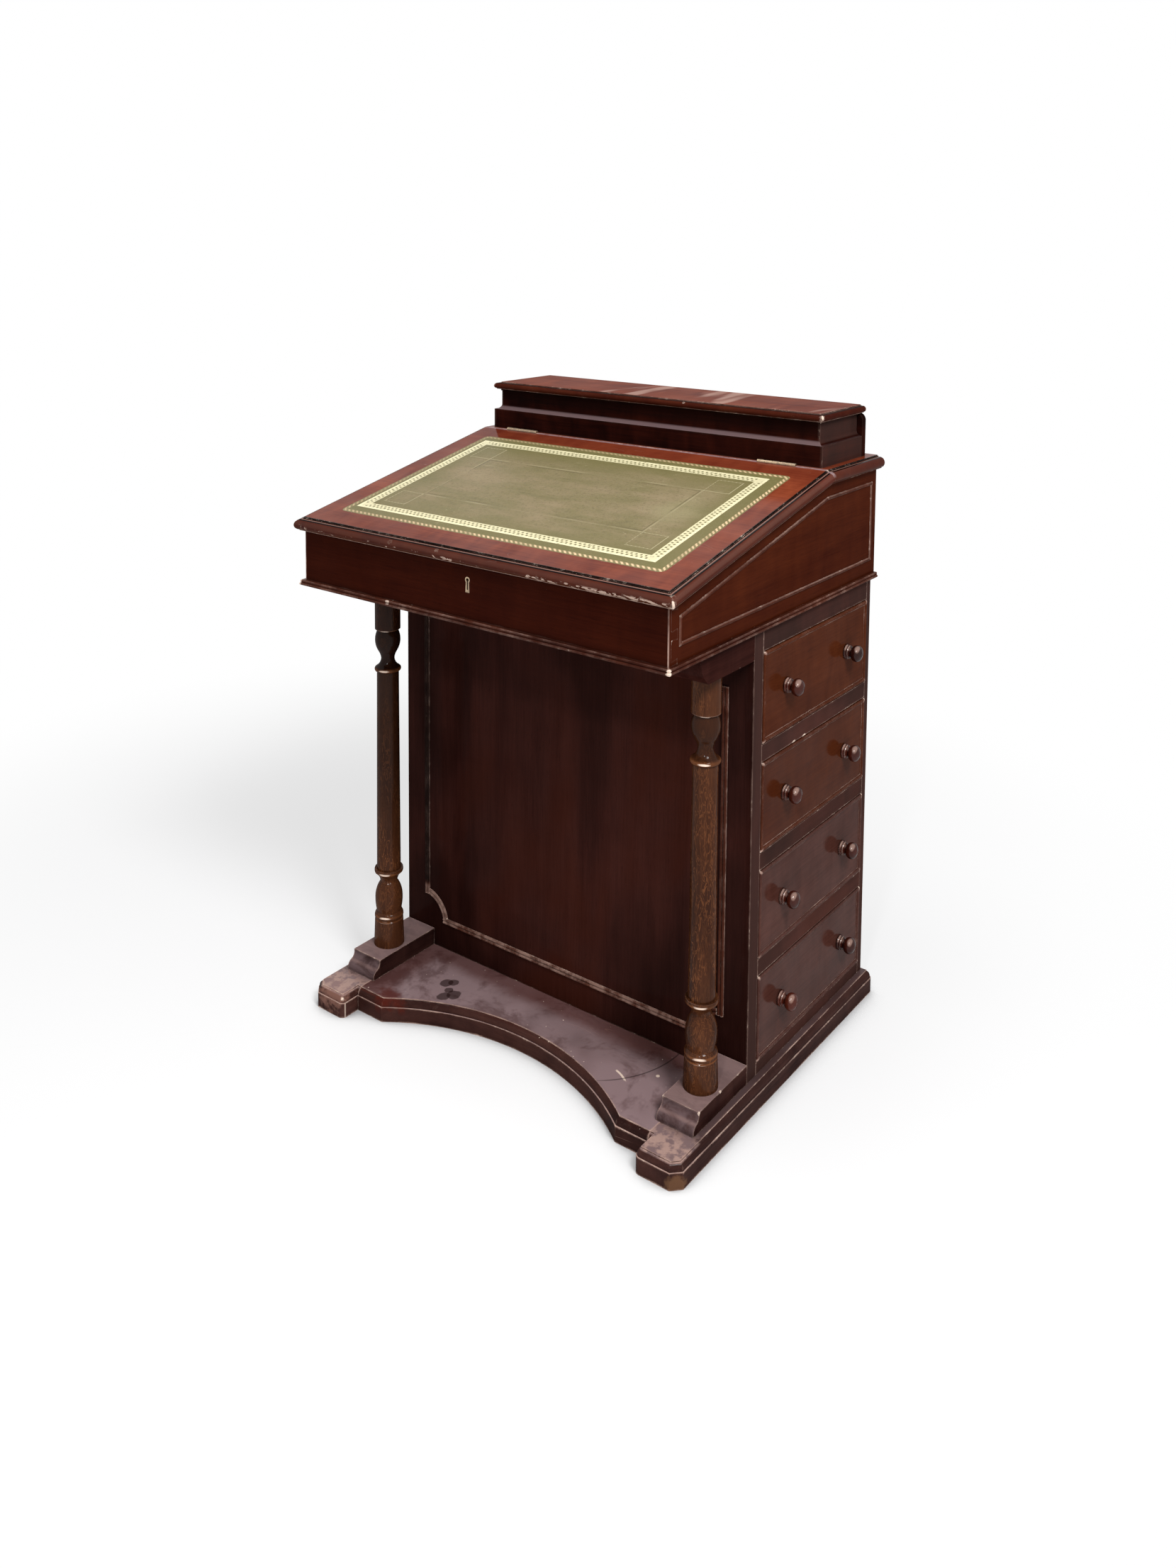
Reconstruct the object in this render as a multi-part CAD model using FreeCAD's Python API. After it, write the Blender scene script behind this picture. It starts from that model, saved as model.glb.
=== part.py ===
import FreeCAD, Part
import math
import os

# Davenport desk.  Millimetres.  X to the right, Y to the back, Z up.  The pieces are laid out
# from the box's front face (y = 0) and the floor (z = 0), then set over the middle of the footprint.

V = FreeCAD.Vector

# ---------------------------------------------------------------- driving dimensions
# clearances
joint_gap = 0.6             # between the writing slope and the fixed top board
rest_gap = 0.2              # air under a closed lid
running_gap = 0.2           # air under a drawer side
drawer_gap = 1.0            # round a drawer front
pin_clearance = 0.05        # radial, moving knuckle on its pin
knuckle_gap = 0.3           # between knuckles, and round a moving barrel
bolt_clearance = 0.3

# plinth
plinth_height = 28.0
plinth_half_width = 276.2
plinth_projection = 9.0     # behind the pedestal
plinth_band = 18.8          # plain band under the moulding
plinth_fillet = 1.3
plinth_moulding = 5.5       # how far the moulding steps in
plinth_ovolo_bow = 1.7      # rise of the ovolo's arc over its chord
plinth_quirk = 1.2
plinth_rear_round = 6.0
toe_front = 13.0
toe_inner = 220.7
toe_cant = 10.7
toe_round = 7.0
platform_front = 38.4
platform_sweep_radius = 303.5
platform_sweep_depth = 96.5  # deepest point of the hollow front

# pedestal
pedestal_width = 527.0
pedestal_height = 517.0
kneehole_depth = 171.5      # from the box's front face to the kneehole board
kneehole_board = 19.5
back_board = 10.0
pedestal_setback = 5.5      # of its back from the box's
left_board = 14.0
top_rail = 26.0
middle_rail = 20.0
bottom_rail = 15.0
drawer_count = 4
drawer_graduation = 1.5     # how much less high each drawer is than the one above
rail_depth = 20.0
runner_width = 12.0
runner_height = 12.0
over = 1.0                  # how far a cutting block runs past the wood
stop_width = 30.0
stop_height = 24.0

# kneehole beading
bead_outer_half_width = 232.0
bead_band = 8.0
bead_proud = 2.4
bead_bottom_rail = 34.7     # plinth top to the bead's outer edge
bead_top_rail = 34.7
bead_corner_radius = 33.0

# drawers
front_thickness = 18.0
side_thickness = 8.0
bottom_thickness = 5.0
bottom_lift = 6.0           # drawer side's lower edge to the bottom's underside
groove_depth = 4.0
socket_depth = 9.0
side_drop = 8.0             # how much lower than the front the sides are
cock_bead_width = 4.6
cock_bead_depth = 9.0
cock_bead_proud = 2.0
false_bead_let_in = 2.0
tail_slope = 6.0            # dovetails splay one in this many
tail_share = 0.6            # of their pitch, at the root
drawer_tail_count = 3
knob_offset = 75.0
spigot_radius = 4.0
spigot_length = 14.0
knob_members = (            # rise, radius at its end, bow of its outline
    (0.0, 8.5, 0.0),        # foot of the lower collar
    (1.6, 9.2, 0.0),
    (1.6, 8.5, 0.0),
    (0.6, 7.5, 0.0),        # groove
    (1.0, 8.3, 0.0),        # upper collar
    (1.1, 7.7, 0.0),
    (1.7, 5.0, 0.0),        # neck
    (0.8, 5.4, 0.0),
    (11.6, 6.2, 4.2),       # bun
    (1.6, 2.0, 0.0),        # flattened end
)

# columns, their blocks and bearers
block_width = 47.0
block_height = 22.3
block_front = 61.4
block_top_front = 72.4
block_lip = 2.0
block_bow = 1.8             # of each half of the ogee
column_setback = 111.7
tenon_radius = 10.0
tenon_length = 15.0
bearer_height = 32.0
bearer_front = 62.7
bearer_nose = 15.6          # depth of the shaped nose
bearer_step = 8.7           # plain edge above the nose
bearer_bow = 2.9
column_foot = (             # rise, radius at its end, bow of its outline
    (0.0, 19.4, 0.0),
    (33.7, 18.2, 0.0),      # drum
    (1.0, 17.4, 0.0),
    (10.0, 15.6, 1.9),      # bead
    (18.5, 17.6, 0.6),      # vase
    (21.0, 10.8, 1.7),
    (12.5, 18.0, -1.5),     # cup
    (5.0, 18.1, 0.4),       # rim
    (0.0, 15.3, 0.0),       # foot of the shaft
)
column_head = (
    (2.6, 13.7, 0.0),
    (6.0, 15.3, 2.3),       # collar
    (11.0, 8.5, -1.7),      # neck
    (9.5, 11.9, -0.6),
    (27.0, 13.3, 3.5),      # bulb
    (2.0, 13.3, 0.0),
    (0.0, 16.2, 0.0),
    (44.3, 16.2, 0.0),      # cap
)
column_shaft_head = 14.0    # radius of the tapered shaft under its head

# box
box_width = 530.0
box_depth = 466.0
box_side = 12.0
box_front = 16.0
box_back = 12.0
box_front_height = 61.0
box_lap = 5.0               # wood left in front of the dovetails
base_bead_height = 6.6
base_bead_projection = 5.7
base_bead_let_in = 6.0
base_bead_setback = 1.0     # of the upper reed
box_tail_count = 2
side_bead_width = 4.0
side_bead_proud = 1.8
side_bead_front = 18.5
side_bead_bottom = 17.0
side_bead_rear = 12.0
side_bead_top = 16.5

# writing slope and top board
slope_angle = 12.27
slope_thickness = 16.0
slope_length = 337.6        # joint line to the front arris
hinge_setback = 329.0       # box's front face to the joint line
nosing_width = 10.1
nosing_radius = 6.9
nosing_drop = 9.0           # surface to the tip of the nosing
nosing_fillet = 1.8
arris_quirk = 1.0
arris_step = 1.3
slope_half_width = 266.1    # to the arris
rear_ease = 1.0
leather_thickness = 1.0
leather_half_width = 237.0
leather_front = 32.0
leather_rear = 306.0
leather_corner = 8.0

# gallery
gallery_half_width = 255.7
gallery_front_y = 335.3
gallery_setback = 16.0      # of its back from the box's
gallery_wall = 16.0
gallery_back_board = 8.5
gallery_band = 25.9
gallery_cove = 6.7
gallery_ledge = 0.8
gallery_neck_height = 18.6
gallery_crown_bead = 2.6
gallery_back_round = 9.0
gallery_lid_thickness = 9.8
gallery_lid_overhang = 0.8
gallery_nosing = 7.5
gallery_nosing_radius = 3.9
gallery_nosing_drop = 5.4
gallery_quirk = 1.0
gallery_lid_fillet = 1.1

# hinges
slope_hinge_length = 52.0
slope_hinge_centre = 199.0
slope_hinge_leaf = 13.0
slope_hinge_plate = 1.5
slope_barrel_radius = 2.6
slope_pin_radius = 1.2
slope_pin_rise = 0.6
gallery_hinge_length = 38.0
gallery_hinge_centre = 170.0
gallery_hinge_leaf = 9.0
gallery_hinge_plate = 1.2
gallery_barrel_radius = 2.0
gallery_pin_radius = 0.9
knuckle_count = 5

# lock
lock_width = 40.0
lock_height = 32.0
lock_setback = 7.0
lock_plate_setback = 6.0
lock_plate_width = 50.0
lock_plate = 2.0
lock_front_plate = 1.5
bolt_width = 12.0
bolt_thickness = 4.0
bolt_height = 22.0
bolt_travel = 6.0
keyhole_height = 38.4       # above the box's lower edge
keyhole_radius = 1.9
keyhole_slot = 0.9
escutcheon_radius = 3.4
escutcheon_height = 17.5
escutcheon_foot = 2.8
escutcheon_waist = 2.1
escutcheon_depth = 3.0
escutcheon_proud = 0.3
strike_plate = 1.2
strike_half_width = 14.0
strike_half_depth = 7.0
strike_clearance = 1.0      # round the bolt and over it

# ---------------------------------------------------------------- worked-out places
pedestal_rear = box_depth - pedestal_setback
plinth_rear = pedestal_rear + plinth_projection
gallery_rear_y = box_depth - gallery_setback
drawers_height = pedestal_height - top_rail - (drawer_count - 1) * middle_rail - bottom_rail
box_underside = plinth_height + pedestal_height
face_bottom = box_underside + base_bead_height
pedestal_half = pedestal_width / 2
box_half = box_width / 2
board_inner = kneehole_depth + kneehole_board
back_inner = pedestal_rear - back_board
side_middle = (board_inner + back_inner) / 2
block_half = block_width / 2
column_x = pedestal_half - block_half
block_top = plinth_height + block_height
bearer_bottom = box_underside - bearer_height
slope = math.radians(slope_angle)
rim_front = face_bottom + box_front_height
top_surface = (rim_front + hinge_setback * math.tan(slope)
               + (slope_thickness + rest_gap) / math.cos(slope))
top_underside = top_surface - slope_thickness
nose_outer = slope_half_width + nosing_width
nose_axis_y = (hinge_setback - (slope_length + nosing_width - nosing_radius) * math.cos(slope)
               + nosing_drop * math.sin(slope))
desk_front = nose_axis_y - nosing_radius
middle_y = (desk_front + plinth_rear) / 2
gallery_rim = (top_surface + gallery_band + gallery_cove + gallery_neck_height
               + gallery_crown_bead)
gallery_lid_bottom = gallery_rim + rest_gap
gallery_axis_y = gallery_rear_y + gallery_barrel_radius + knuckle_gap
gallery_axis_z = gallery_rim + rest_gap / 2
slope_axis_z = top_surface + slope_pin_rise
reach = 900.0               # longer than any piece, for cutting blocks


def opening_levels():
    """Lower and upper edge of each drawer opening, top drawer first."""
    levels = []
    upper = box_underside - top_rail
    height = drawers_height / drawer_count + drawer_graduation * (drawer_count - 1) / 2
    for index in range(drawer_count):
        levels.append((upper - height, upper))
        upper -= height + middle_rail
        height -= drawer_graduation
    return levels


# ---------------------------------------------------------------- drawing helpers
def box(x0, x1, y0, y1, z0, z1):
    return Part.makeBox(x1 - x0, y1 - y0, z1 - z0, V(x0, y0, z0))


def in_xy(p):
    return V(p[0], p[1], 0)


def in_xz(p):
    return V(p[0], 0, p[1])


def in_yz(p):
    return V(0, p[0], p[1])


def end_of(step):
    """Where a step of a path ends: the point itself, or the second point of an arc."""
    return step[1] if isinstance(step[0], tuple) else step


def outline(path, place):
    """A face from a closed path.  A point draws a straight edge, a pair of points an arc
    through the first to the second."""
    edges = []
    here = path[0]
    closing = [] if end_of(path[-1]) == here else [here]
    for step in path[1:] + closing:
        if isinstance(step[0], tuple):
            there = step[1]
            edges.append(Part.Arc(place(here), place(step[0]), place(there)).toShape())
        else:
            there = step
            edges.append(Part.makeLine(place(here), place(there)))
        here = there
    return Part.Face(Part.Wire(edges))


def prism_x(path, x0, x1):
    face = outline(path, in_yz)
    face.translate(V(x0, 0, 0))
    return face.extrude(V(x1 - x0, 0, 0))


def prism_y(path, y0, y1):
    face = outline(path, in_xz)
    face.translate(V(0, y0, 0))
    return face.extrude(V(0, y1 - y0, 0))


def prism_z(path, z0, z1):
    face = outline(path, in_xy)
    face.translate(V(0, 0, z0))
    return face.extrude(V(0, 0, z1 - z0))


def turned(path, base, axis):
    """A turning from (height, radius) steps, standing on base and pointing along axis."""
    solid = outline(path, lambda p: V(p[1], 0, p[0])).revolve(V(0, 0, 0), V(0, 0, 1), 360)
    solid.Placement = FreeCAD.Placement(base, FreeCAD.Rotation(V(0, 0, 1), axis))
    return solid


def cylinder_x(radius, x0, x1, y, z):
    return Part.makeCylinder(radius, x1 - x0, V(x0, y, z), V(1, 0, 0))


def mirrored(shape):
    return shape.mirror(V(0, 0, 0), V(1, 0, 0))


def bowed(start, end, bow):
    """An arc step from start to end, standing out to the left of the way by bow."""
    across = (end[0] - start[0], end[1] - start[1])
    length = math.hypot(*across)
    middle = ((start[0] + end[0]) / 2, (start[1] + end[1]) / 2)
    through = (middle[0] - across[1] / length * bow, middle[1] + across[0] / length * bow)
    return (through, end)


def turned_path(start, members):
    """Steps of a turning from (rise, radius, bow) members, beginning at a height."""
    height = start
    radius = members[0][1]
    path = [(height, radius)]
    for rise, next_radius, bow in members[1:]:
        here = (height, radius)
        height += rise
        radius = next_radius
        path.append(bowed(here, (height, radius), bow) if bow else (height, radius))
    return path


def moulded_slab(section, normal, offset):
    """A broad slab whose edge faces along normal, offset from the Z axis.  The section gives
    the edge as (inset, height) steps from the underside to the top."""
    tangent = V(0, 0, 1).cross(normal)

    def place(p):
        return normal * (offset - p[0]) + V(0, 0, p[1]) - tangent * reach

    path = [(2 * reach, section[0][1])] + section + [(2 * reach, end_of(section[-1])[1])]
    return outline(path, place).extrude(tangent * 2 * reach)


def common_of(shapes):
    result = shapes[0]
    for shape in shapes[1:]:
        result = result.common(shape)
    return result.removeSplitter()


def cut_all(shape, tools):
    for tool in tools:
        shape = shape.cut(tool)
    return shape


def solid_of(shape):
    """The one solid that a boolean leaves."""
    return shape.Solids[0]


# ---------------------------------------------------------------- sections
def nosing_section(top, thickness, width, radius, drop, quirk, fillet):
    """Nosed edge: fillet under, bullnose, then two small quirks up to the arris."""
    axis = top - drop
    under = top - thickness
    fillet_top = under + fillet
    reach_in = radius - math.sqrt(radius ** 2 - (axis - fillet_top) ** 2)
    step = width - arris_step
    return [
        (reach_in + fillet, under),
        (reach_in + fillet, fillet_top),
        (reach_in, fillet_top),
        ((0, axis), (radius, axis + radius)),
        (step, axis + radius),
        (step, top - quirk),
        (width, top - quirk),
        (width, top),
    ]


def plinth_section():
    """Plain band, small fillet, ovolo and quirk."""
    ovolo_foot = (plinth_fillet, plinth_band)
    ovolo_top = (plinth_moulding, plinth_height - plinth_quirk)
    return [
        (0, 0),
        (0, plinth_band),
        ovolo_foot,
        bowed(ovolo_foot, ovolo_top, plinth_ovolo_bow),
        (plinth_moulding, plinth_height),
    ]


def gallery_section():
    """Base band, ledge, cove, plain neck and a crown bead, up to the gallery's rim."""
    band_top = top_surface + gallery_band
    neck = gallery_ledge + gallery_cove
    cove_top = band_top + gallery_cove
    hollow = gallery_cove * math.sqrt(0.5)
    crown = gallery_crown_bead / 2
    neck_top = gallery_rim - gallery_crown_bead
    return [
        (0, top_surface),
        (0, band_top),
        (gallery_ledge, band_top),
        ((gallery_ledge + hollow, cove_top - hollow), (neck, cove_top)),
        (neck, neck_top),
        ((neck - crown, neck_top + crown), (neck, gallery_rim)),
    ]


def reeds(width, height):
    """Two half-round reeds side by side on a flat back, as (across, up) steps."""
    reed = width / 4
    web = height - reed
    return [
        (0, 0),
        (0, web),
        ((reed, height), (2 * reed, web)),
        ((3 * reed, height), (width, web)),
        (width, 0),
    ]


# ---------------------------------------------------------------- plinth
def plinth_foot():
    """Right-hand foot: runs front to back, with a canted toe outside and a round one inside."""
    section = plinth_section()
    cant = plinth_half_width - toe_front - toe_cant
    outer = moulded_slab(section, V(1, 0, 0), plinth_half_width)
    rear = moulded_slab(section, V(0, 1, 0), plinth_rear)
    front = moulded_slab(section, V(0, -1, 0), -toe_front)
    canted = moulded_slab(section, V(1, -1, 0).normalize(), cant * math.sqrt(0.5))
    inner = moulded_slab(section, V(-1, 0, 0), -toe_inner)
    inner_corner = rounded_corner(section, toe_inner, toe_front, toe_round, 1, 1)
    rear_corner = rounded_corner(section, plinth_half_width, plinth_rear, plinth_rear_round, -1, -1)
    toe = common_of([outer, rear, front, canted, inner, inner_corner, rear_corner])
    shoulder = moulded_slab(section, V(0, -1, 0), -platform_front)
    inside = box(toe_inner, reach, -reach, reach, 0, plinth_height)
    run = common_of([outer, rear, shoulder, inside, rear_corner])
    return solid_of(toe.fuse(run).removeSplitter())


def rounded_corner(section, x, y, radius, inward_x, inward_y):
    """What a corner at (x, y) leaves of a slab once its edge is taken round by the radius."""
    centre = V(x + inward_x * radius, y + inward_y * radius, 0)
    past_x = sorted((centre.x, inward_x * reach))
    past_y = sorted((centre.y, inward_y * reach))
    beside = box(past_x[0], past_x[1], -reach, reach, 0, plinth_height)
    behind = box(-reach, reach, past_y[0], past_y[1], 0, plinth_height)
    return moulded_disc(section, radius, centre).fuse([beside, behind])


def moulded_disc(section, radius, centre):
    """A disc with the moulded section round its edge."""
    path = [(section[0][1], 0)]
    for step in section:
        path.append(swap_inset(step, radius))
    path.append((section[-1][1], 0))
    return turned(path, centre, V(0, 0, 1))


def swap_inset(step, radius):
    """An (inset, height) step as a (height, radius) step."""
    if isinstance(step[0], tuple):
        return (swap_inset(step[0], radius), swap_inset(step[1], radius))
    return (step[1], radius - step[0])


def plinth_platform():
    """Board between the feet, hollowed in a long curve at the front."""
    section = plinth_section()
    front = moulded_slab(section, V(0, -1, 0), -platform_front)
    rear = moulded_slab(section, V(0, 1, 0), plinth_rear)
    between = box(-toe_inner, toe_inner, -reach, reach, 0, plinth_height)
    centre = V(0, platform_sweep_depth - platform_sweep_radius, 0)
    path = [(0, 0)]
    for step in section:
        path.append(swap_outset(step, platform_sweep_radius))
    path.append((plinth_height, 0))
    hollow = turned(path, centre, V(0, 0, 1))
    return solid_of(common_of([front, rear, between]).cut(hollow))


def swap_outset(step, radius):
    """An (inset, height) step as a (height, radius) step of a hollow edge."""
    if isinstance(step[0], tuple):
        return (swap_outset(step[0], radius), swap_outset(step[1], radius))
    return (step[1], radius + step[0])


# ---------------------------------------------------------------- columns
def column_block():
    """Right-hand block with an ogee front, bored for the column's tenon."""
    lip_top = (block_front, plinth_height + block_lip)
    middle = ((block_front + block_top_front) / 2, plinth_height + block_height / 2)
    top_lip = (block_top_front, block_top - block_lip)
    path = [
        (kneehole_depth, plinth_height),
        (block_front, plinth_height),
        lip_top,
        bowed(lip_top, middle, block_bow),
        bowed(middle, top_lip, -block_bow),
        (block_top_front, block_top),
        (kneehole_depth, block_top),
    ]
    block = prism_x(path, column_x - block_half, column_x + block_half)
    return block.cut(tenon(block_top - tenon_length))


def tenon(bottom):
    return Part.makeCylinder(tenon_radius, tenon_length, V(column_x, column_setback, bottom))


def bearer():
    """Right-hand bearer under the box, with a shaped nose, bored for the column's tenon."""
    step = (bearer_front, box_underside - bearer_step)
    path = [
        (kneehole_depth, box_underside),
        (bearer_front, box_underside),
        step,
        bowed(step, (bearer_front + bearer_nose, bearer_bottom), -bearer_bow),
        (kneehole_depth, bearer_bottom),
    ]
    piece = prism_x(path, column_x - block_half, column_x + block_half)
    return piece.cut(tenon(bearer_bottom))


def column():
    """Right-hand column: drum, bead, vase, cup and rim, tapered shaft, collar, neck, bulb and
    cap, with a tenon at each end.  Heights run up from the block."""
    total = bearer_bottom - block_top
    head_start = total - sum(rise for rise, radius, bow in column_head)
    foot = turned_path(0, column_foot)
    head = turned_path(head_start, ((0.0, column_shaft_head, 0.0),) + column_head)
    lower_tenon = [(-tenon_length, 0), (-tenon_length, tenon_radius), (0, tenon_radius)]
    tip = total + tenon_length
    upper_tenon = [(total, tenon_radius), (tip, tenon_radius), (tip, 0)]
    path = lower_tenon + foot + head + upper_tenon
    return turned(path, V(column_x, column_setback, block_top), V(0, 0, 1))


# ---------------------------------------------------------------- pedestal
def kneehole_panel():
    return box(-pedestal_half, pedestal_half, kneehole_depth, board_inner,
               plinth_height, box_underside)


def kneehole_beading():
    """Double bead planted on the board: four straight lengths and four re-entrant quarter
    rounds between them."""
    outer = bead_outer_half_width
    low = plinth_height + bead_bottom_rail
    high = box_underside - bead_top_rail
    radius = bead_corner_radius
    middle = (low + high) / 2
    face_y = kneehole_depth
    section = reeds(bead_band, bead_proud)
    across = V(2 * (outer - radius), 0, 0)
    upright = V(0, 0, high - low - 2 * radius)

    def straight(start, inward, length):
        face = outline(section, lambda p: start + inward * p[0] - V(0, p[1], 0))
        return face.extrude(length)

    pieces = [
        straight(V(radius - outer, face_y, low), V(0, 0, 1), across),
        straight(V(radius - outer, face_y, high), V(0, 0, -1), across),
        straight(V(-outer, face_y, low + radius), V(1, 0, 0), upright),
        straight(V(outer, face_y, low + radius), V(-1, 0, 0), upright),
    ]
    round_section = outline(section, lambda p: V(radius + p[0], -p[1], 0))
    ring = round_section.revolve(V(0, 0, 0), V(0, 1, 0), 360)
    for x0, x1, x in ((-outer + bead_band, 0, -outer), (0, outer - bead_band, outer)):
        for z0, z1, z in ((low + bead_band, middle, low), (middle, high - bead_band, high)):
            corner = ring.copy()
            corner.translate(V(x, face_y, z))
            window = box(x0, x1, face_y - 2 * bead_proud, face_y, z0, z1)
            pieces.append(solid_of(corner.common(window)))
    return pieces


def side_panel_left():
    """Left board with shallow grooves for the false drawers' beads and bores for their knobs."""
    panel = box(-pedestal_half, -pedestal_half + left_board, board_inner, back_inner,
                plinth_height, box_underside)
    bores = [knob_bore(*place) for place in false_knob_places()]
    return cut_all(panel, false_drawer_beads() + bores)


def back_panel():
    return box(-pedestal_half, pedestal_half, back_inner, pedestal_rear,
               plinth_height, box_underside)


def drawer_rails():
    """Five rails across the right-hand side, between the kneehole board and the back."""
    inner = pedestal_half - rail_depth
    levels = opening_levels()
    edges = [box_underside]
    for low, high in levels:
        edges += [high, low]
    edges.append(plinth_height)
    rails = []
    for upper, lower in zip(edges[0::2], edges[1::2]):
        rails.append(box(inner, pedestal_half, board_inner, back_inner, lower, upper))
    return rails


def drawer_runners():
    """Two runners under each drawer, standing just above the rail."""
    x0 = -pedestal_half + left_board
    x1 = pedestal_half - rail_depth
    runners = []
    for low, high in opening_levels():
        top = low + drawer_gap - running_gap
        for y in (board_inner, back_inner - runner_width):
            runners.append(box(x0, x1, y, y + runner_width, top - runner_height, top))
    return runners


def drawer_stops():
    """A block on the left board behind each drawer."""
    x0 = -pedestal_half + left_board
    x1 = drawer_rear() - running_gap
    y0 = side_middle - stop_width / 2
    stops = []
    for low, high in opening_levels():
        z0 = (low + high) / 2 - stop_height / 2
        stops.append(box(x0, x1, y0, y0 + stop_width, z0, z0 + stop_height))
    return stops


# ---------------------------------------------------------------- drawers
def drawer_rear():
    """Back face of a drawer."""
    return -pedestal_half + left_board + side_thickness


def drawer_extent(low, high):
    """Front face rectangle of a drawer: y0, y1, z0, z1."""
    return (board_inner + drawer_gap, back_inner - drawer_gap,
            low + drawer_gap, high - drawer_gap)


def bead_frame(y0, y1, z0, z1, back, face):
    """Four mitred lengths of cock bead round a rectangle, from x = back to the proud face."""
    round_start = face - cock_bead_width / 2
    section = [
        (0, back),
        (0, round_start),
        ((cock_bead_width / 2, face), (cock_bead_width, round_start)),
        (cock_bead_width, back),
    ]
    width = cock_bead_width
    along_y = V(0, y1 - y0, 0)
    along_z = V(0, 0, z1 - z0)
    lower = outline(section, lambda p: V(p[1], y0, z0 + p[0])).extrude(along_y)
    upper = outline(section, lambda p: V(p[1], y0, z1 - p[0])).extrude(along_y)
    front = outline(section, lambda p: V(p[1], y0 + p[0], z0)).extrude(along_z)
    rear = outline(section, lambda p: V(p[1], y1 - p[0], z0)).extrude(along_z)

    def level_end(y, z, inward_y, inward_z):
        """Wedge over a corner that trims a level length to its mitre."""
        path = [(y, z), (y + inward_y, z + inward_z), (y, z + inward_z)]
        return prism_x(path, back - over, face + over)

    def upright_end(y, z, inward_y, inward_z):
        path = [(y, z), (y + inward_y, z + inward_z), (y + inward_y, z)]
        return prism_x(path, back - over, face + over)

    far = 2 * width
    lower = cut_all(lower, [level_end(y0, z0, far, far), level_end(y1, z0, -far, far)])
    upper = cut_all(upper, [level_end(y0, z1, far, -far), level_end(y1, z1, -far, -far)])
    front = cut_all(front, [upright_end(y0, z0, far, far), upright_end(y0, z1, far, -far)])
    rear = cut_all(rear, [upright_end(y1, z0, -far, far), upright_end(y1, z1, -far, -far)])
    return [solid_of(piece) for piece in (lower, upper, front, rear)]


def tail_paths(root, tip, z0, z1, count):
    """Dovetail outlines, wide at the tip, shared evenly between the levels z0 and z1."""
    pitch = (z1 - z0) / count
    narrow = pitch * tail_share / 2
    wide = narrow + abs(tip - root) / tail_slope
    paths = []
    for index in range(count):
        middle = z0 + pitch * (index + 0.5)
        paths.append([(root, middle - narrow), (tip, middle - wide),
                      (tip, middle + wide), (root, middle + narrow)])
    return paths


def drawer_tails(y0, y1, z0, z1, front_root, front_tip, rear_root, rear_tip):
    """Tails of one drawer side at its front and rear ends."""
    tails = []
    for root, tip in ((front_root, front_tip), (rear_root, rear_tip)):
        for path in tail_paths(root, tip, z0, z1, drawer_tail_count):
            tails.append(prism_y(path, y0, y1))
    return tails


def drawer(low, high):
    """One drawer of the right-hand side: front with beads, case pieces and knobs."""
    y0, y1, z0, z1 = drawer_extent(low, high)
    face = pedestal_half
    inner = face - front_thickness
    tail_tip = inner + socket_depth
    rear = drawer_rear()
    back_front = rear + side_thickness
    side_top = z1 - side_drop
    floor_low = z0 + bottom_lift
    floor_high = floor_low + bottom_thickness
    bead_face = face + cock_bead_proud
    bead_back = bead_face - cock_bead_depth
    beads = bead_frame(y0, y1, z0, z1, bead_back, bead_face)
    let_in = side_thickness - groove_depth
    floor = box(rear, inner + groove_depth, y0 + let_in, y1 - let_in, floor_low, floor_high)
    sides = []
    all_tails = []
    for y in (y0, y1 - side_thickness):
        tails = drawer_tails(y, y + side_thickness, floor_high, side_top,
                             inner, tail_tip, back_front, rear)
        side = box(back_front, inner, y, y + side_thickness, z0, side_top)
        strip = box(rear, back_front, y, y + side_thickness, z0, floor_high)
        side = side.fuse(tails + [strip]).removeSplitter()
        sides.append(solid_of(side.cut(floor)))
        all_tails += tails
    core = box(inner, bead_back, y0, y1, z0, z1)
    raised = box(inner, face, y0 + cock_bead_width, y1 - cock_bead_width,
                 z0 + cock_bead_width, z1 - cock_bead_width)
    board = core.fuse(raised)
    bores = [knob_bore(1, y, (low + high) / 2) for y in knob_ys()]
    board = solid_of(cut_all(board, all_tails + [floor] + bores).removeSplitter())
    back = box(rear, back_front, y0, y1, floor_high, side_top)
    back = solid_of(cut_all(back, all_tails))
    knobs = [knob(1, y, (low + high) / 2) for y in knob_ys()]
    return [board] + beads, sides + [back, floor], knobs


def knob_ys():
    return (side_middle - knob_offset, side_middle + knob_offset)


def knob_bore(side, y, z):
    return Part.makeCylinder(spigot_radius, spigot_length,
                             V(side * pedestal_half, y, z), V(-side, 0, 0))


def knob(side, y, z):
    """Turned knob: spigot, double collar, neck and flattened bun."""
    projection = sum(rise for rise, radius, bow in knob_members)
    path = [(-spigot_length, 0), (-spigot_length, spigot_radius), (0, spigot_radius)]
    path += turned_path(0, knob_members) + [(projection, 0)]
    return turned(path, V(side * pedestal_half, y, z), V(side, 0, 0))


def false_knob_places():
    places = []
    for low, high in opening_levels():
        for y in knob_ys():
            places.append((-1, y, (low + high) / 2))
    return places


def false_drawer_knobs():
    return [knob(*place) for place in false_knob_places()]


def false_drawer_beads():
    """Bead frames let into the left board, which has no drawers."""
    pieces = []
    for low, high in opening_levels():
        y0, y1, z0, z1 = drawer_extent(low, high)
        back = pedestal_half - false_bead_let_in
        frame = bead_frame(y0, y1, z0, z1, back, pedestal_half + cock_bead_proud)
        pieces += [mirrored(piece) for piece in frame]
    return pieces


# ---------------------------------------------------------------- box
def rim_height(y):
    """Height of the box's sloping rim at a distance behind its front face."""
    return rim_front + y * math.tan(slope)


def box_bottom():
    let_in = base_bead_let_in
    return box(-box_half + let_in, box_half - let_in, let_in, box_depth, box_underside, face_bottom)


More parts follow.
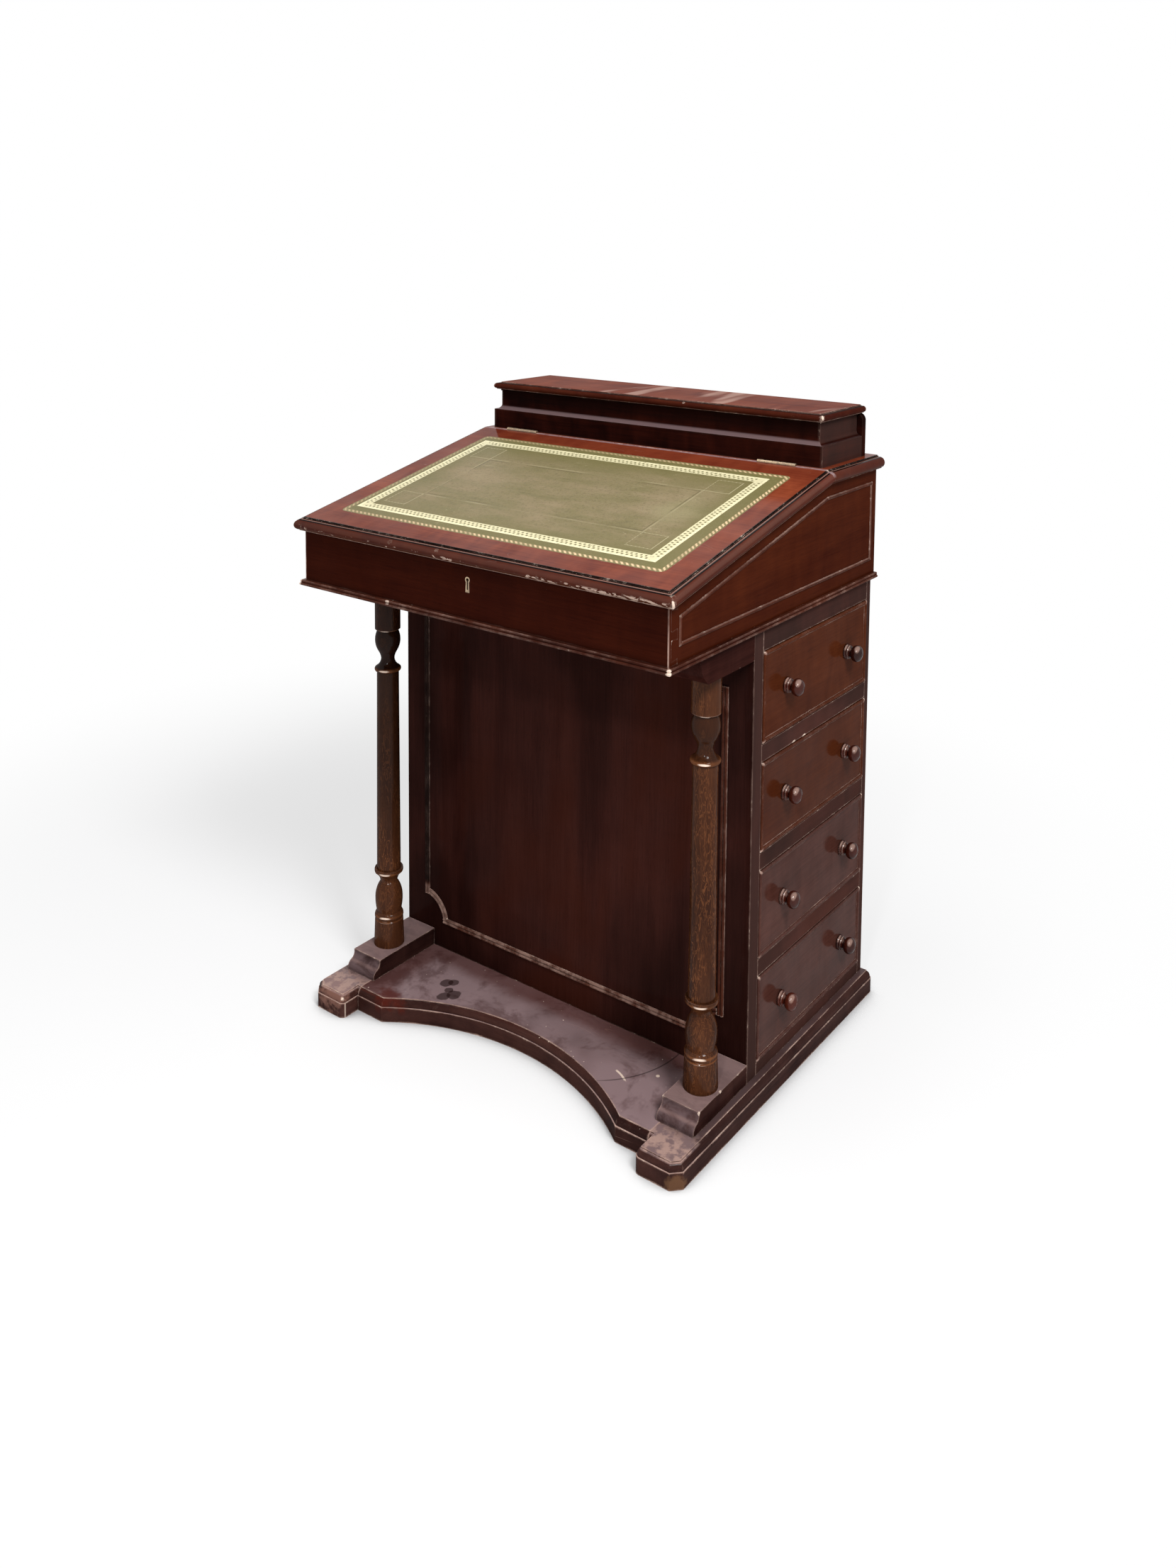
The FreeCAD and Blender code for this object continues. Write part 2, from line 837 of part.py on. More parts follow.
def base_moulding():
    """Two reeds along the lower edge of the box, mitred at the front corners."""
    outer = box_half + base_bead_projection
    width = base_bead_let_in + base_bead_projection
    half = base_bead_height / 2
    reed = half / 2
    nib = width - reed
    section = [
        (0, 0), (nib, 0), ((width, reed), (nib, half)),
        ((width - base_bead_setback, half + reed), (nib, base_bead_height)),
        (0, base_bead_height),
    ]
    inner = box_half - base_bead_let_in

    def front_place(p):
        return V(-outer, base_bead_let_in - p[0], box_underside + p[1])

    def side_place(p):
        return V(inner + p[0], -base_bead_projection, box_underside + p[1])

    front = outline(section, front_place).extrude(V(2 * outer, 0, 0))
    side = outline(section, side_place).extrude(V(0, box_depth + base_bead_projection, 0))
    corner = (outer, -base_bead_projection)
    far = 3 * width
    behind = [corner, (corner[0] - far, corner[1] + far), (corner[0], corner[1] + far)]
    before = [corner, (corner[0] - far, corner[1] + far), (corner[0] - far, corner[1])]
    z0 = box_underside - over
    z1 = face_bottom + over
    wedge = prism_z(behind, z0, z1)
    side = solid_of(side.cut(prism_z(before, z0, z1)))
    front = solid_of(cut_all(front, [wedge, mirrored(wedge)]))
    return [front, side, mirrored(side)]


def box_side_tails():
    """Tails of the right-hand side, lapped into the box's front."""
    paths = tail_paths(box_front, box_lap, face_bottom, rim_front, box_tail_count)
    return [prism_x(path, box_half - box_side, box_half) for path in paths]


def box_side_right():
    """Side board with a sloping rim and two dovetails at the front."""
    bend = (top_underside - rim_front) / math.tan(slope)
    path = [
        (box_front, face_bottom),
        (box_depth, face_bottom),
        (box_depth, top_underside),
        (bend, top_underside),
        (box_front, rim_height(box_front)),
    ]
    side = prism_x(path, box_half - box_side, box_half)
    return solid_of(side.fuse(box_side_tails()).removeSplitter())


def box_front_board():
    """Front board with a bevelled rim, sockets for the sides, lock pocket and keyhole."""
    path = [(0, face_bottom), (box_front, face_bottom), (box_front, rim_height(box_front)),
            (0, rim_front)]
    board = prism_x(path, -box_half, box_half)
    tails = box_side_tails()
    sockets = tails + [mirrored(tail) for tail in tails]
    half = lock_width / 2
    inside = box_front + over
    pocket = box(-half, half, lock_setback, inside, lock_top() - lock_height, lock_top())
    plate = box(-lock_plate_width / 2, lock_plate_width / 2, lock_plate_setback, inside,
                lock_top() - lock_plate, lock_top() + box_front)
    keyway = keyhole(0, lock_setback)
    return solid_of(cut_all(board, sockets + [pocket, plate, escutcheon_blank(0), keyway]))


def box_back_board():
    return box(-box_half + box_side, box_half - box_side, box_depth - box_back, box_depth,
               face_bottom, top_underside)


def side_beads():
    """Half-round bead planted on each side of the box, mitred into a five-sided frame."""
    low = face_bottom + side_bead_bottom
    high = top_underside - side_bead_top
    front = side_bead_front
    rear = box_depth - side_bead_rear
    drop = side_bead_top / math.cos(slope)
    bend = (high - (rim_front - drop)) / math.tan(slope)
    corners = [(front, low), (rear, low), (rear, high), (bend, high),
               (front, rim_height(front) - drop)]
    half = side_bead_width / 2
    section = [(0, 0), ((half, side_bead_proud), (side_bead_width, 0))]
    frame = []
    for index, start in enumerate(corners):
        end = corners[(index + 1) % len(corners)]
        along = V(0, end[0] - start[0], end[1] - start[1])
        length = along.Length
        along = along.normalize()
        inward = V(1, 0, 0).cross(along)

        def place(p, start=start, along=along, inward=inward):
            foot = V(box_half + p[1], start[0], start[1])
            return foot + inward * p[0] - along * side_bead_width

        strip = outline(section, place).extrude(along * (length + 2 * side_bead_width))
        frame.append(solid_of(strip.common(mitre_wedge(corners, index))))
    return frame + [mirrored(piece) for piece in frame]


def mitre_wedge(corners, index):
    """Part of a frame that belongs to one side, bounded by its two mitre lines."""
    count = len(corners)
    start = corners[index]
    end = corners[(index + 1) % count]
    before = corners[index - 1]
    after = corners[(index + 2) % count]
    first = bisector(before, start, end)
    second = bisector(start, end, after)
    far = 3 * side_bead_width
    path = [
        (start[0] - first[0] * far, start[1] - first[1] * far),
        (end[0] - second[0] * far, end[1] - second[1] * far),
        (end[0] + second[0] * far, end[1] + second[1] * far),
        (start[0] + first[0] * far, start[1] + first[1] * far),
    ]
    return prism_x(path, box_half - over, box_half + side_bead_proud + over)


def bisector(before, corner, after):
    """Unit vector that halves the angle at a corner, pointing inwards."""
    a = V(before[0] - corner[0], before[1] - corner[1], 0).normalize()
    b = V(after[0] - corner[0], after[1] - corner[1], 0).normalize()
    half = (a + b).normalize()
    return (half.x, half.y)


def flat_nosing():
    return nosing_section(top_surface, slope_thickness, nosing_width, nosing_radius, nosing_drop,
                          arris_quirk, nosing_fillet)


def tilted(shape):
    """Turns a piece of the level board down onto the slope, about the joint line."""
    return shape.rotated(V(0, hinge_setback, top_surface), V(1, 0, 0), slope_angle)


def top_board():
    """Fixed board behind the slope: nosed ends, bevelled front edge cut for the hinges."""
    section = flat_nosing()
    right = moulded_slab(section, V(1, 0, 0), nose_outer)
    left = moulded_slab(section, V(-1, 0, 0), nose_outer)
    joint = hinge_setback + joint_gap / 2
    lean = slope_thickness * math.tan(slope)
    front_edge = joint + joint_gap / 2 * (1 / math.cos(slope) - 1)
    path = [(front_edge, top_surface), (front_edge + lean, top_underside),
            (box_depth, top_underside), (box_depth, top_surface)]
    board = common_of([right, left, prism_x(path, -reach, reach)])
    return solid_of(cut_all(board, [tilted(tool) for tool in slope_hinge_recesses(1)]))


# ---------------------------------------------------------------- writing slope
def slope_board_level():
    """The slope as a level board: nosed front and ends, with the recesses for its leather,
    hinges and strike plate."""
    section = flat_nosing()
    front_line = hinge_setback - slope_length - nosing_width
    slab = common_of([
        moulded_slab(section, V(1, 0, 0), nose_outer),
        moulded_slab(section, V(-1, 0, 0), nose_outer),
        moulded_slab(section, V(0, -1, 0), -front_line),
    ])
    rear = hinge_setback - joint_gap / 2
    path = [
        (front_line - over, top_underside - over),
        (rear - rear_ease, top_underside - over),
        (rear - rear_ease, top_underside),
        (rear, top_underside + rear_ease),
        (rear, top_surface + over),
        (front_line - over, top_surface + over),
    ]
    slab = slab.common(prism_x(path, -reach, reach))
    cuts = [leather_level(), strike_blank(), strike_slot(bolt_travel + strike_clearance)]
    return solid_of(cut_all(slab, slope_hinge_recesses(-1) + cuts))


def leather_level():
    front = hinge_setback - slope_length + leather_front
    rear = hinge_setback - slope_length + leather_rear
    half = leather_half_width
    r = leather_corner
    bow = r * (1 - math.sqrt(0.5))
    path = [
        (-half + r, front),
        (half - r, front),
        ((half - bow, front + bow), (half, front + r)),
        (half, rear - r),
        ((half - bow, rear - bow), (half - r, rear)),
        (-half + r, rear),
        ((-half + bow, rear - bow), (-half, rear - r)),
        (-half, front + r),
        ((-half + bow, front + bow), (-half + r, front)),
    ]
    return prism_z(path, top_surface - leather_thickness, top_surface)


# ---------------------------------------------------------------- hinges
def knuckles(length):
    """Where the fixed and the moving knuckles stand along a hinge, turn about."""
    pitch = length / knuckle_count
    starts = [-length / 2 + pitch * index for index in range(knuckle_count)]
    spans = [(start, start + pitch) for start in starts]
    return spans[0::2], spans[1::2]


def hinge_plate(side, length, leaf, plate, gap):
    """Leaf plate hanging down from the pin's axis, on the +Y or -Y side of the joint."""
    near = gap / 2
    y0 = near if side > 0 else -near - plate
    return box(-length / 2, length / 2, y0, y0 + plate, -leaf, 0)


def hinge_leaf(side, length, leaf, plate, barrel, pin, gap):
    """One leaf of a butt hinge with its knuckles, about a pin along X through the origin."""
    fixed, moving = knuckles(length)
    swept = barrel + knuckle_gap
    shape = hinge_plate(side, length, leaf, plate, gap)
    if side > 0:
        shape = shape.fuse([cylinder_x(barrel, x0, x1, 0, 0) for x0, x1 in fixed])
        shape = cut_all(shape, [cylinder_x(swept, x0, x1, 0, 0) for x0, x1 in moving])
        bore = pin
    else:
        shape = shape.fuse([cylinder_x(barrel, x0, x1, 0, 0) for x0, x1 in moving])
        clear = [(x0 - knuckle_gap, x1 + knuckle_gap) for x0, x1 in fixed]
        shape = cut_all(shape, [cylinder_x(swept, x0, x1, 0, 0) for x0, x1 in clear])
        bore = pin + pin_clearance
    shape = shape.cut(cylinder_x(bore, -length, length, 0, 0))
    return solid_of(shape.removeSplitter())


def set_slope_hinge(shape, side):
    """Places a hinge piece at one of the two stations of the level slope."""
    placed = shape.copy()
    placed.translate(V(side * slope_hinge_centre, hinge_setback, slope_axis_z))
    return placed


def slope_hinge_recesses(side):
    """Cuts for the leaves and barrels in the board on one side of the joint."""
    length = slope_hinge_length
    plate = hinge_plate(side, length, slope_hinge_leaf, slope_hinge_plate, joint_gap)
    barrel = cylinder_x(slope_barrel_radius + knuckle_gap, -length / 2, length / 2, 0, 0)
    tools = []
    for end in (-1, 1):
        tools += [set_slope_hinge(plate, end), set_slope_hinge(barrel, end)]
    return tools


def slope_leaves(side):
    leaf = hinge_leaf(side, slope_hinge_length, slope_hinge_leaf, slope_hinge_plate,
                      slope_barrel_radius, slope_pin_radius, joint_gap)
    return [tilted(set_slope_hinge(leaf, end)) for end in (-1, 1)]


def set_gallery_hinge(shape, end):
    """Lays a hinge piece over, leaves pointing forwards, at the back of the gallery."""
    placed = shape.rotated(V(0, 0, 0), V(1, 0, 0), -90)
    placed.translate(V(end * gallery_hinge_centre, gallery_axis_y, gallery_axis_z))
    return placed


def gallery_leaves(side):
    leaf = hinge_leaf(side, gallery_hinge_length, gallery_hinge_leaf, gallery_hinge_plate,
                      gallery_barrel_radius, gallery_pin_radius, rest_gap)
    return [set_gallery_hinge(leaf, end) for end in (-1, 1)]


def gallery_hinge_recesses(side):
    plate = hinge_plate(side, gallery_hinge_length, gallery_hinge_leaf, gallery_hinge_plate,
                        rest_gap)
    return [set_gallery_hinge(plate, end) for end in (-1, 1)]


def hinge_pins():
    """All four pins."""
    slope_end = slope_hinge_length / 2
    gallery_end = gallery_hinge_length / 2
    slope_pin = cylinder_x(slope_pin_radius, -slope_end, slope_end, 0, 0)
    gallery_pin = cylinder_x(gallery_pin_radius, -gallery_end, gallery_end, 0, 0)
    pins = [tilted(set_slope_hinge(slope_pin, end)) for end in (-1, 1)]
    return pins + [set_gallery_hinge(gallery_pin, end) for end in (-1, 1)]


# ---------------------------------------------------------------- lock
def lock_top():
    """Top of the lock's plate, just below the box's rim."""
    return rim_height(lock_plate_setback) - rest_gap


def bolt_middle():
    return lock_setback + lock_front_plate + bolt_clearance + bolt_thickness / 2


def lock_bolt():
    half = bolt_width / 2
    y = bolt_middle() - bolt_thickness / 2
    return box(-half, half, y, y + bolt_thickness, lock_top() - bolt_height, lock_top())


def lock_case():
    """Case and plate, hollow for the bolt, with its own keyhole."""
    half = lock_width / 2
    case = box(-half, half, lock_setback, box_front,
               lock_top() - lock_height, lock_top() - lock_plate)
    plate = box(-lock_plate_width / 2, lock_plate_width / 2, lock_plate_setback, box_front,
                lock_top() - lock_plate, lock_top())
    slot_half = bolt_width / 2 + bolt_clearance
    slot_back = bolt_middle() + bolt_thickness / 2 + bolt_clearance
    slot = box(-slot_half, slot_half, lock_setback + lock_front_plate, slot_back,
               lock_top() - bolt_height - bolt_clearance, lock_top() + over)
    shape = case.fuse(plate).removeSplitter().cut(slot)
    return solid_of(shape.cut(keyhole(lock_setback, lock_setback + lock_front_plate)))


def keyhole_centre():
    return face_bottom + keyhole_height


def keyhole(y0, y1):
    """Keyhole through everything between two depths."""
    eye = keyhole_centre() + escutcheon_height / 2 - escutcheon_radius
    slot_end = keyhole_centre() - escutcheon_height / 2 + escutcheon_foot
    round_hole = Part.makeCylinder(keyhole_radius, y1 - y0, V(0, y0, eye), V(0, 1, 0))
    slot = box(-keyhole_slot, keyhole_slot, y0, y1, slot_end, eye)
    return round_hole.fuse(slot).removeSplitter()


def escutcheon_blank(proud):
    """Outline of the brass escutcheon, let into the front."""
    eye = keyhole_centre() + escutcheon_height / 2 - escutcheon_radius
    foot = keyhole_centre() - escutcheon_height / 2
    head = Part.makeCylinder(escutcheon_radius, escutcheon_depth + proud,
                             V(0, -proud, eye), V(0, 1, 0))
    path = [(-escutcheon_foot, foot), (escutcheon_foot, foot),
            (escutcheon_waist, eye), (-escutcheon_waist, eye)]
    tail = prism_y(path, -proud, escutcheon_depth)
    return head.fuse(tail).removeSplitter()


def keyhole_escutcheon():
    through = keyhole(-escutcheon_proud - over, escutcheon_depth)
    return solid_of(escutcheon_blank(escutcheon_proud).cut(through))


def strike_centre():
    """Where the bolt meets the level slope's underside, measured along Y."""
    run = (bolt_middle() - hinge_setback - slope_thickness * math.sin(slope)) / math.cos(slope)
    return hinge_setback + run


def strike_blank():
    y = strike_centre()
    return box(-strike_half_width, strike_half_width, y - strike_half_depth, y + strike_half_depth,
               top_underside, top_underside + strike_plate)


def strike_slot(depth):
    """Room for the bolt in the level slope's underside."""
    half_width = bolt_width / 2 + strike_clearance
    half_depth = bolt_thickness / 2 + strike_clearance
    y = strike_centre()
    return box(-half_width, half_width, y - half_depth, y + half_depth,
               top_underside, top_underside + depth)


def strike_plate_level():
    return strike_blank().cut(strike_slot(strike_plate))


# ---------------------------------------------------------------- gallery
def gallery_ring():
    """Outer form of the gallery's front and ends as one moulded block."""
    section = gallery_section()
    return common_of([
        moulded_slab(section, V(1, 0, 0), gallery_half_width),
        moulded_slab(section, V(-1, 0, 0), gallery_half_width),
        moulded_slab(section, V(0, -1, 0), -gallery_front_y),
    ])


def gallery_walls():
    """Front and two ends of the gallery, mitred together at the front corners."""
    inner = gallery_half_width - gallery_wall
    back = gallery_rear_y - gallery_back_board
    inside = gallery_front_y + gallery_wall
    form = gallery_ring()
    low = top_surface - over
    high = gallery_rim + over
    corner = (gallery_half_width, gallery_front_y)
    front_path = [(-corner[0], corner[1]), corner, (inner, inside), (-inner, inside)]
    end_path = [corner, (corner[0], back), (inner, back), (inner, inside)]
    front = solid_of(form.common(prism_z(front_path, low, high)))
    end = solid_of(form.common(prism_z(end_path, low, high)))
    return front, end


def gallery_back():
    """Back board of the gallery: full width, its top corners rounded."""
    half = gallery_half_width + gallery_lid_overhang
    r = gallery_back_round
    bow = r * (1 - math.sqrt(0.5))
    path = [
        (-half, top_surface), (half, top_surface), (half, gallery_rim - r),
        ((half - bow, gallery_rim - bow), (half - r, gallery_rim)),
        (-half + r, gallery_rim),
        ((-half + bow, gallery_rim - bow), (-half, gallery_rim - r)),
    ]
    board = prism_y(path, gallery_rear_y - gallery_back_board, gallery_rear_y)
    return solid_of(cut_all(board, gallery_hinge_recesses(1)))


def gallery_lid():
    """Lift-up lid with a nosed front and ends."""
    top = gallery_lid_bottom + gallery_lid_thickness
    section = nosing_section(top, gallery_lid_thickness, gallery_nosing, gallery_nosing_radius,
                             gallery_nosing_drop, gallery_quirk, gallery_lid_fillet)
    outer = gallery_half_width + gallery_lid_overhang
    slab = common_of([
        moulded_slab(section, V(1, 0, 0), outer),
        moulded_slab(section, V(-1, 0, 0), outer),
        moulded_slab(section, V(0, -1, 0), gallery_lid_overhang - gallery_front_y),
    ])
    rear = box(-reach, reach, -reach, gallery_rear_y, gallery_lid_bottom - over, top + over)
    return solid_of(cut_all(slab.common(rear), gallery_hinge_recesses(-1)))


# ---------------------------------------------------------------- assembly
def desk_nodes():
    """Every node of the desk with its solids."""
    foot = plinth_foot()
    block = column_block()
    bearer_right = bearer()
    post = column()
    side = box_side_right()
    gallery_front, gallery_end = gallery_walls()
    nodes = {
        "plinth_foot_left": [mirrored(foot)],
        "plinth_foot_right": [foot],
        "plinth_platform": [plinth_platform()],
        "column_block_left": [mirrored(block)],
        "column_block_right": [block],
        "column_left": [mirrored(post)],
        "column_right": [post],
        "bearer_left": [mirrored(bearer_right)],
        "bearer_right": [bearer_right],
        "kneehole_panel": [kneehole_panel()],
        "kneehole_beading": kneehole_beading(),
        "side_panel_left": [side_panel_left()],
        "false_drawer_beads": false_drawer_beads(),
        "false_drawer_knobs": false_drawer_knobs(),
        "back_panel": [back_panel()],
        "drawer_rails": drawer_rails(),
        "drawer_runners": drawer_runners(),
        "drawer_stops": drawer_stops(),
        "box_bottom": [box_bottom()],
        "box_front": [box_front_board()],
        "box_side_left": [mirrored(side)],
        "box_side_right": [side],
        "box_back": [box_back_board()],
        "base_moulding": base_moulding(),
        "side_beads": side_beads(),
        "top_board": [top_board()],
        "lock_case": [lock_case()],
        "lock_bolt": [lock_bolt()],
        "keyhole_escutcheon": [keyhole_escutcheon()],
        "slope_board": [tilted(slope_board_level())],
        "slope_leather": [tilted(leather_level())],
        "slope_hinge_leaves": slope_leaves(-1),
        "strike_plate": [tilted(strike_plate_level())],
        "box_hinge_leaves": slope_leaves(1),
        "hinge_pins": hinge_pins(),
        "gallery_front": [gallery_front],
        "gallery_back": [gallery_back()],
        "gallery_end_left": [mirrored(gallery_end)],
        "gallery_end_right": [gallery_end],
        "gallery_lid": [gallery_lid()],
        "gallery_lid_hinge_leaves": gallery_leaves(-1),
        "gallery_back_hinge_leaves": gallery_leaves(1),
    }
    for number, (low, high) in enumerate(opening_levels(), start=1):
        front, case, knobs = drawer(low, high)
        nodes["drawer_%d_front" % number] = front
        nodes["drawer_%d_case" % number] = case
        nodes["drawer_%d_knobs" % number] = knobs
    return nodes


def main():
    os.makedirs("parts", exist_ok=True)
    for name, solids in desk_nodes().items():
        shape = solids[0] if len(solids) == 1 else Part.makeCompound(solids)
        shape = shape.copy()
        shape.translate(V(0, -middle_y, 0))
        shape.exportStep("parts/%s.step" % name)
        bounds = shape.BoundBox
        print("%-28s %d solid(s) %s  x %.1f..%.1f  y %.1f..%.1f  z %.1f..%.1f" % (
            name, len(shape.Solids), "ok" if shape.isValid() else "BAD", bounds.XMin, bounds.XMax,
            bounds.YMin, bounds.YMax, bounds.ZMin, bounds.ZMax))


main()
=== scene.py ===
"""A davenport desk in polished mahogany, with a tooled leather slope, on a pale studio floor."""

import math
from typing import NamedTuple

import bpy
from bpy.props import FloatProperty, FloatVectorProperty, PointerProperty
from mathutils import Matrix, Vector


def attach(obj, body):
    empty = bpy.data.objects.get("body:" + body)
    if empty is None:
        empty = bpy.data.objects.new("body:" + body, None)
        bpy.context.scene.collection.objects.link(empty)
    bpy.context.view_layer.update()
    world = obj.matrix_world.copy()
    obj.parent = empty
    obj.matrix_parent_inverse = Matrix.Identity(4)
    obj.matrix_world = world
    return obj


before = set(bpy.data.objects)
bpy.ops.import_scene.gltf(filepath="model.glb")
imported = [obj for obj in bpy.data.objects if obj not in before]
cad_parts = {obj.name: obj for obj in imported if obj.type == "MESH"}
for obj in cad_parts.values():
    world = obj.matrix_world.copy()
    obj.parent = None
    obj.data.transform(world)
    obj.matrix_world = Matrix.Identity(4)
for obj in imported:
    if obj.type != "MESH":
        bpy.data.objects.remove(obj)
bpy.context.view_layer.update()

bl_info = {
    "name": "Davenport Desk",
    "version": (1, 0, 0),
    "blender": (4, 5, 0),
    "location": "View3D > Sidebar > Desk",
    "description": "Polishes, gilds and lights a davenport desk",
    "category": "Object",
}


SLOPE = math.radians(12.27)
JOINT = Vector((0.0, 0.098751, 0.7007))      # where the slope meets the fixed board, on top
SLOPE_LENGTH = 0.3376                        # from its front edge to that joint
PLATFORM_TOP = 0.028
UP = Vector((0, 0, 1))
FRAMING = (-0.0141, -0.2837)                 # the lens's shift across and up
BLACK = (0, 0, 0)
WHITE = (1, 1, 1)


# -------- what a user may change
def colour(label, description, red, green, blue):
    """A colour property, its default written as a screen shows it, 0 to 255."""
    default = [((part / 255 + 0.055) / 1.055) ** 2.4 for part in (red, green, blue)]
    return FloatVectorProperty(
        name=label, description=description, subtype="COLOR", size=3, min=0, max=1, default=default)


def number(label, description, value, **kind):
    """A number property, of the kind that its subtype and unit say."""
    return FloatProperty(name=label, description=description, default=value, **kind)


def length(label, description, millimetres):
    """A length property with its default in millimetres."""
    return number(label, description, millimetres / 1000, subtype="DISTANCE", unit="LENGTH")


def angle(label, description, degrees):
    """An angle property with its default in degrees."""
    return number(label, description, math.radians(degrees), subtype="ANGLE")


def power(label, description, watts):
    """A lamp's power, in watts."""
    return number(label, description, watts, subtype="POWER", unit="POWER", min=0)


# each wood's label, and the darkest and lightest tone of its figure
WOODS = {
    "slope": ("Writing slope", (84, 28, 18), (150, 74, 46)),
    "gallery": ("Stationery box", (22, 5, 3), (62, 23, 14)),
    "box": ("Desk box's front", (37, 9, 4), (69, 26, 12)),
    "side": ("Desk box's sides", (47, 14, 6), (86, 38, 18)),
    "case": ("Pedestal boards", (37, 15, 12), (74, 40, 34)),
    "upper": ("Upper drawers", (55, 22, 10), (94, 47, 25)),
    "lower": ("Lower drawers", (52, 26, 20), (92, 56, 48)),
    "plinth": ("Plinth", (38, 20, 18), (76, 47, 41)),
    "column": ("Turned columns", (44, 21, 11), (86, 50, 30)),
    "bead": ("Beads and mouldings", (42, 15, 9), (96, 50, 34)),
    "knob": ("Turned knobs", (36, 11, 7), (80, 32, 20)),
    "lining": ("Drawer linings", (112, 76, 42), (176, 136, 88)),
}


class WoodColours(bpy.types.PropertyGroup):
    """What age leaves on the woods, and the colours that also paint shade, sheen and highlights; the
    loop below adds each wood's darkest and lightest tone.
    """

    # also paints highlights and reflections: on the knobs, in streaks across the lid, as sheen on
    # the slope's nosing, and along rubbed arrises
    rubbed: colour("Rubbed edge", "Wood showing through polish at an edge", 192, 158, 144)
    # also paints the white highlights on the columns' rings
    chipped: colour("Chip", "Bare wood in a chipped arris", 238, 214, 196)
    # also paints sheen: on the stationery box's shoulder, on faces that look right, and as a
    # highlight along the slope's joint
    dust: colour("Dust", "Dust and dulled polish on level faces", 152, 128, 130)
    # also paints shade: in corners, in quirk lines, under the lid, on the left column and on the
    # kneehole's left beading
    grime_and_shade: colour("Grime", "Old wax and dirt in the corners", 12, 5, 4)


for wood_name, (label, *tones) in WOODS.items():
    for shade, tone in zip(("dark", "light"), tones):
        WoodColours.__annotations__[f"{wood_name}_{shade}"] = colour(
            f"{label}, {shade}", f"The {shade}est tone of this wood", *tone)


class LeatherSettings(bpy.types.PropertyGroup):
    """The tooled writing leather: its colours, and where its lines run."""

    olive: colour("Olive", "Leather where its dye is strongest", 104, 98, 56)
    brown: colour("Brown", "Leather where its dye has faded", 136, 120, 90)
    shadow: colour("Shadow", "Dark mottling and pressed lines", 88, 78, 50)
    gilt: colour("Gilt", "Gold leaf of the band", 240, 231, 188)
    rope: colour("Rope", "Gold of the rope edge, rubbed", 226, 196, 156)
    half_width: length("Half width", "From the middle to a short edge", 237.0)
    front: length("Front edge", "Up the slope to the near edge", 32.0)
    rear: length("Rear edge", "Up the slope to the far edge", 306.0)
    band_half_width: length("Band half width", "From its middle to the band's outer side", 221.0)
    band_front: length("Band front", "Up the slope to the band's near side", 50.0)
    band_rear: length("Band rear", "Up the slope to the band's far side", 291.0)
    band_width: length("Band width", "Across the gilt band", 13.5)
    band_offset: length("Band offset", "How far left the tooling was laid", 5.5)
    panel_half_width: length("Panel half width", "From its middle to the pressed line", 164.5)
    panel_front: length("Panel front", "Up the slope to the near pressed line", 109.5)
    panel_rear: length("Panel rear", "Up the slope to the far pressed line", 235.0)
    corner_square: length("Corner square", "Side of the dotted corner squares", 34.0)


class MetalSettings(bpy.types.PropertyGroup):
    """Brass and steel, and the screws in them."""

    brass: colour("Brass", "Brass, handled", 196, 172, 142)
    tarnish: colour("Tarnish", "Brass, dulled", 126, 110, 96)
    steel: colour("Steel", "Lock bolt", 150, 148, 144)
    screw_radius: length("Screw radius", "Half the width of a hinge screw head", 2.3)
    screw_slot: length("Screw slot", "Width of a screw's slot", 0.6)
    screw_proud: length("Screw height", "How far a screw stands above its plate", 0.12)


class StageSettings(bpy.types.PropertyGroup):
    """Camera, floor and lamps."""

    eye: FloatVectorProperty(
        name="Camera place", description="Where the camera stands", subtype="TRANSLATION",
        unit="LENGTH", size=3, default=(0.9616, -1.28, 0.9804))
    azimuth: angle("Azimuth", "Camera's turn round the desk from its front", 36.29)
    elevation: angle("Elevation", "Camera's tilt down", 4.81)
    roll: angle("Roll", "Camera's turn about its view", 0.52)
    lens: number("Lens", "Focal length in millimetres", 30.24, subtype="DISTANCE_CAMERA", min=1)
    floor: colour("Floor", "Studio floor", 252, 252, 253)
    sky_level: number("Room light", "Strength of the light from all round", 0.29, min=0)
    key_power: power("Key lamp", "Lamp on the drawers' side", 56.0)
    top_power: power("Top lamp", "Lamp over the slope", 17.0)
    front_power: power("Front lamp", "Small lamp by the camera", 12.0)


# -------- materials as expressions
class Value:
    """A socket that gives a number; arithmetic on it adds Math nodes."""

    def __init__(self, finish, socket):
        self.finish, self.socket = finish, socket

    def math(self, operation, *others):
        return self.finish.math(operation, self, *others)

    def __add__(self, other):
        return self.math("ADD", other)

    __radd__ = __add__

    def __sub__(self, other):
        return self.math("SUBTRACT", other)

    def __rsub__(self, other):
        return self.finish.math("SUBTRACT", other, self)

    def __mul__(self, other):
        return self.math("MULTIPLY", other)

    __rmul__ = __mul__

    def __truediv__(self, other):
        return self.math("DIVIDE", other)

    def __abs__(self):
        return self.math("ABSOLUTE")


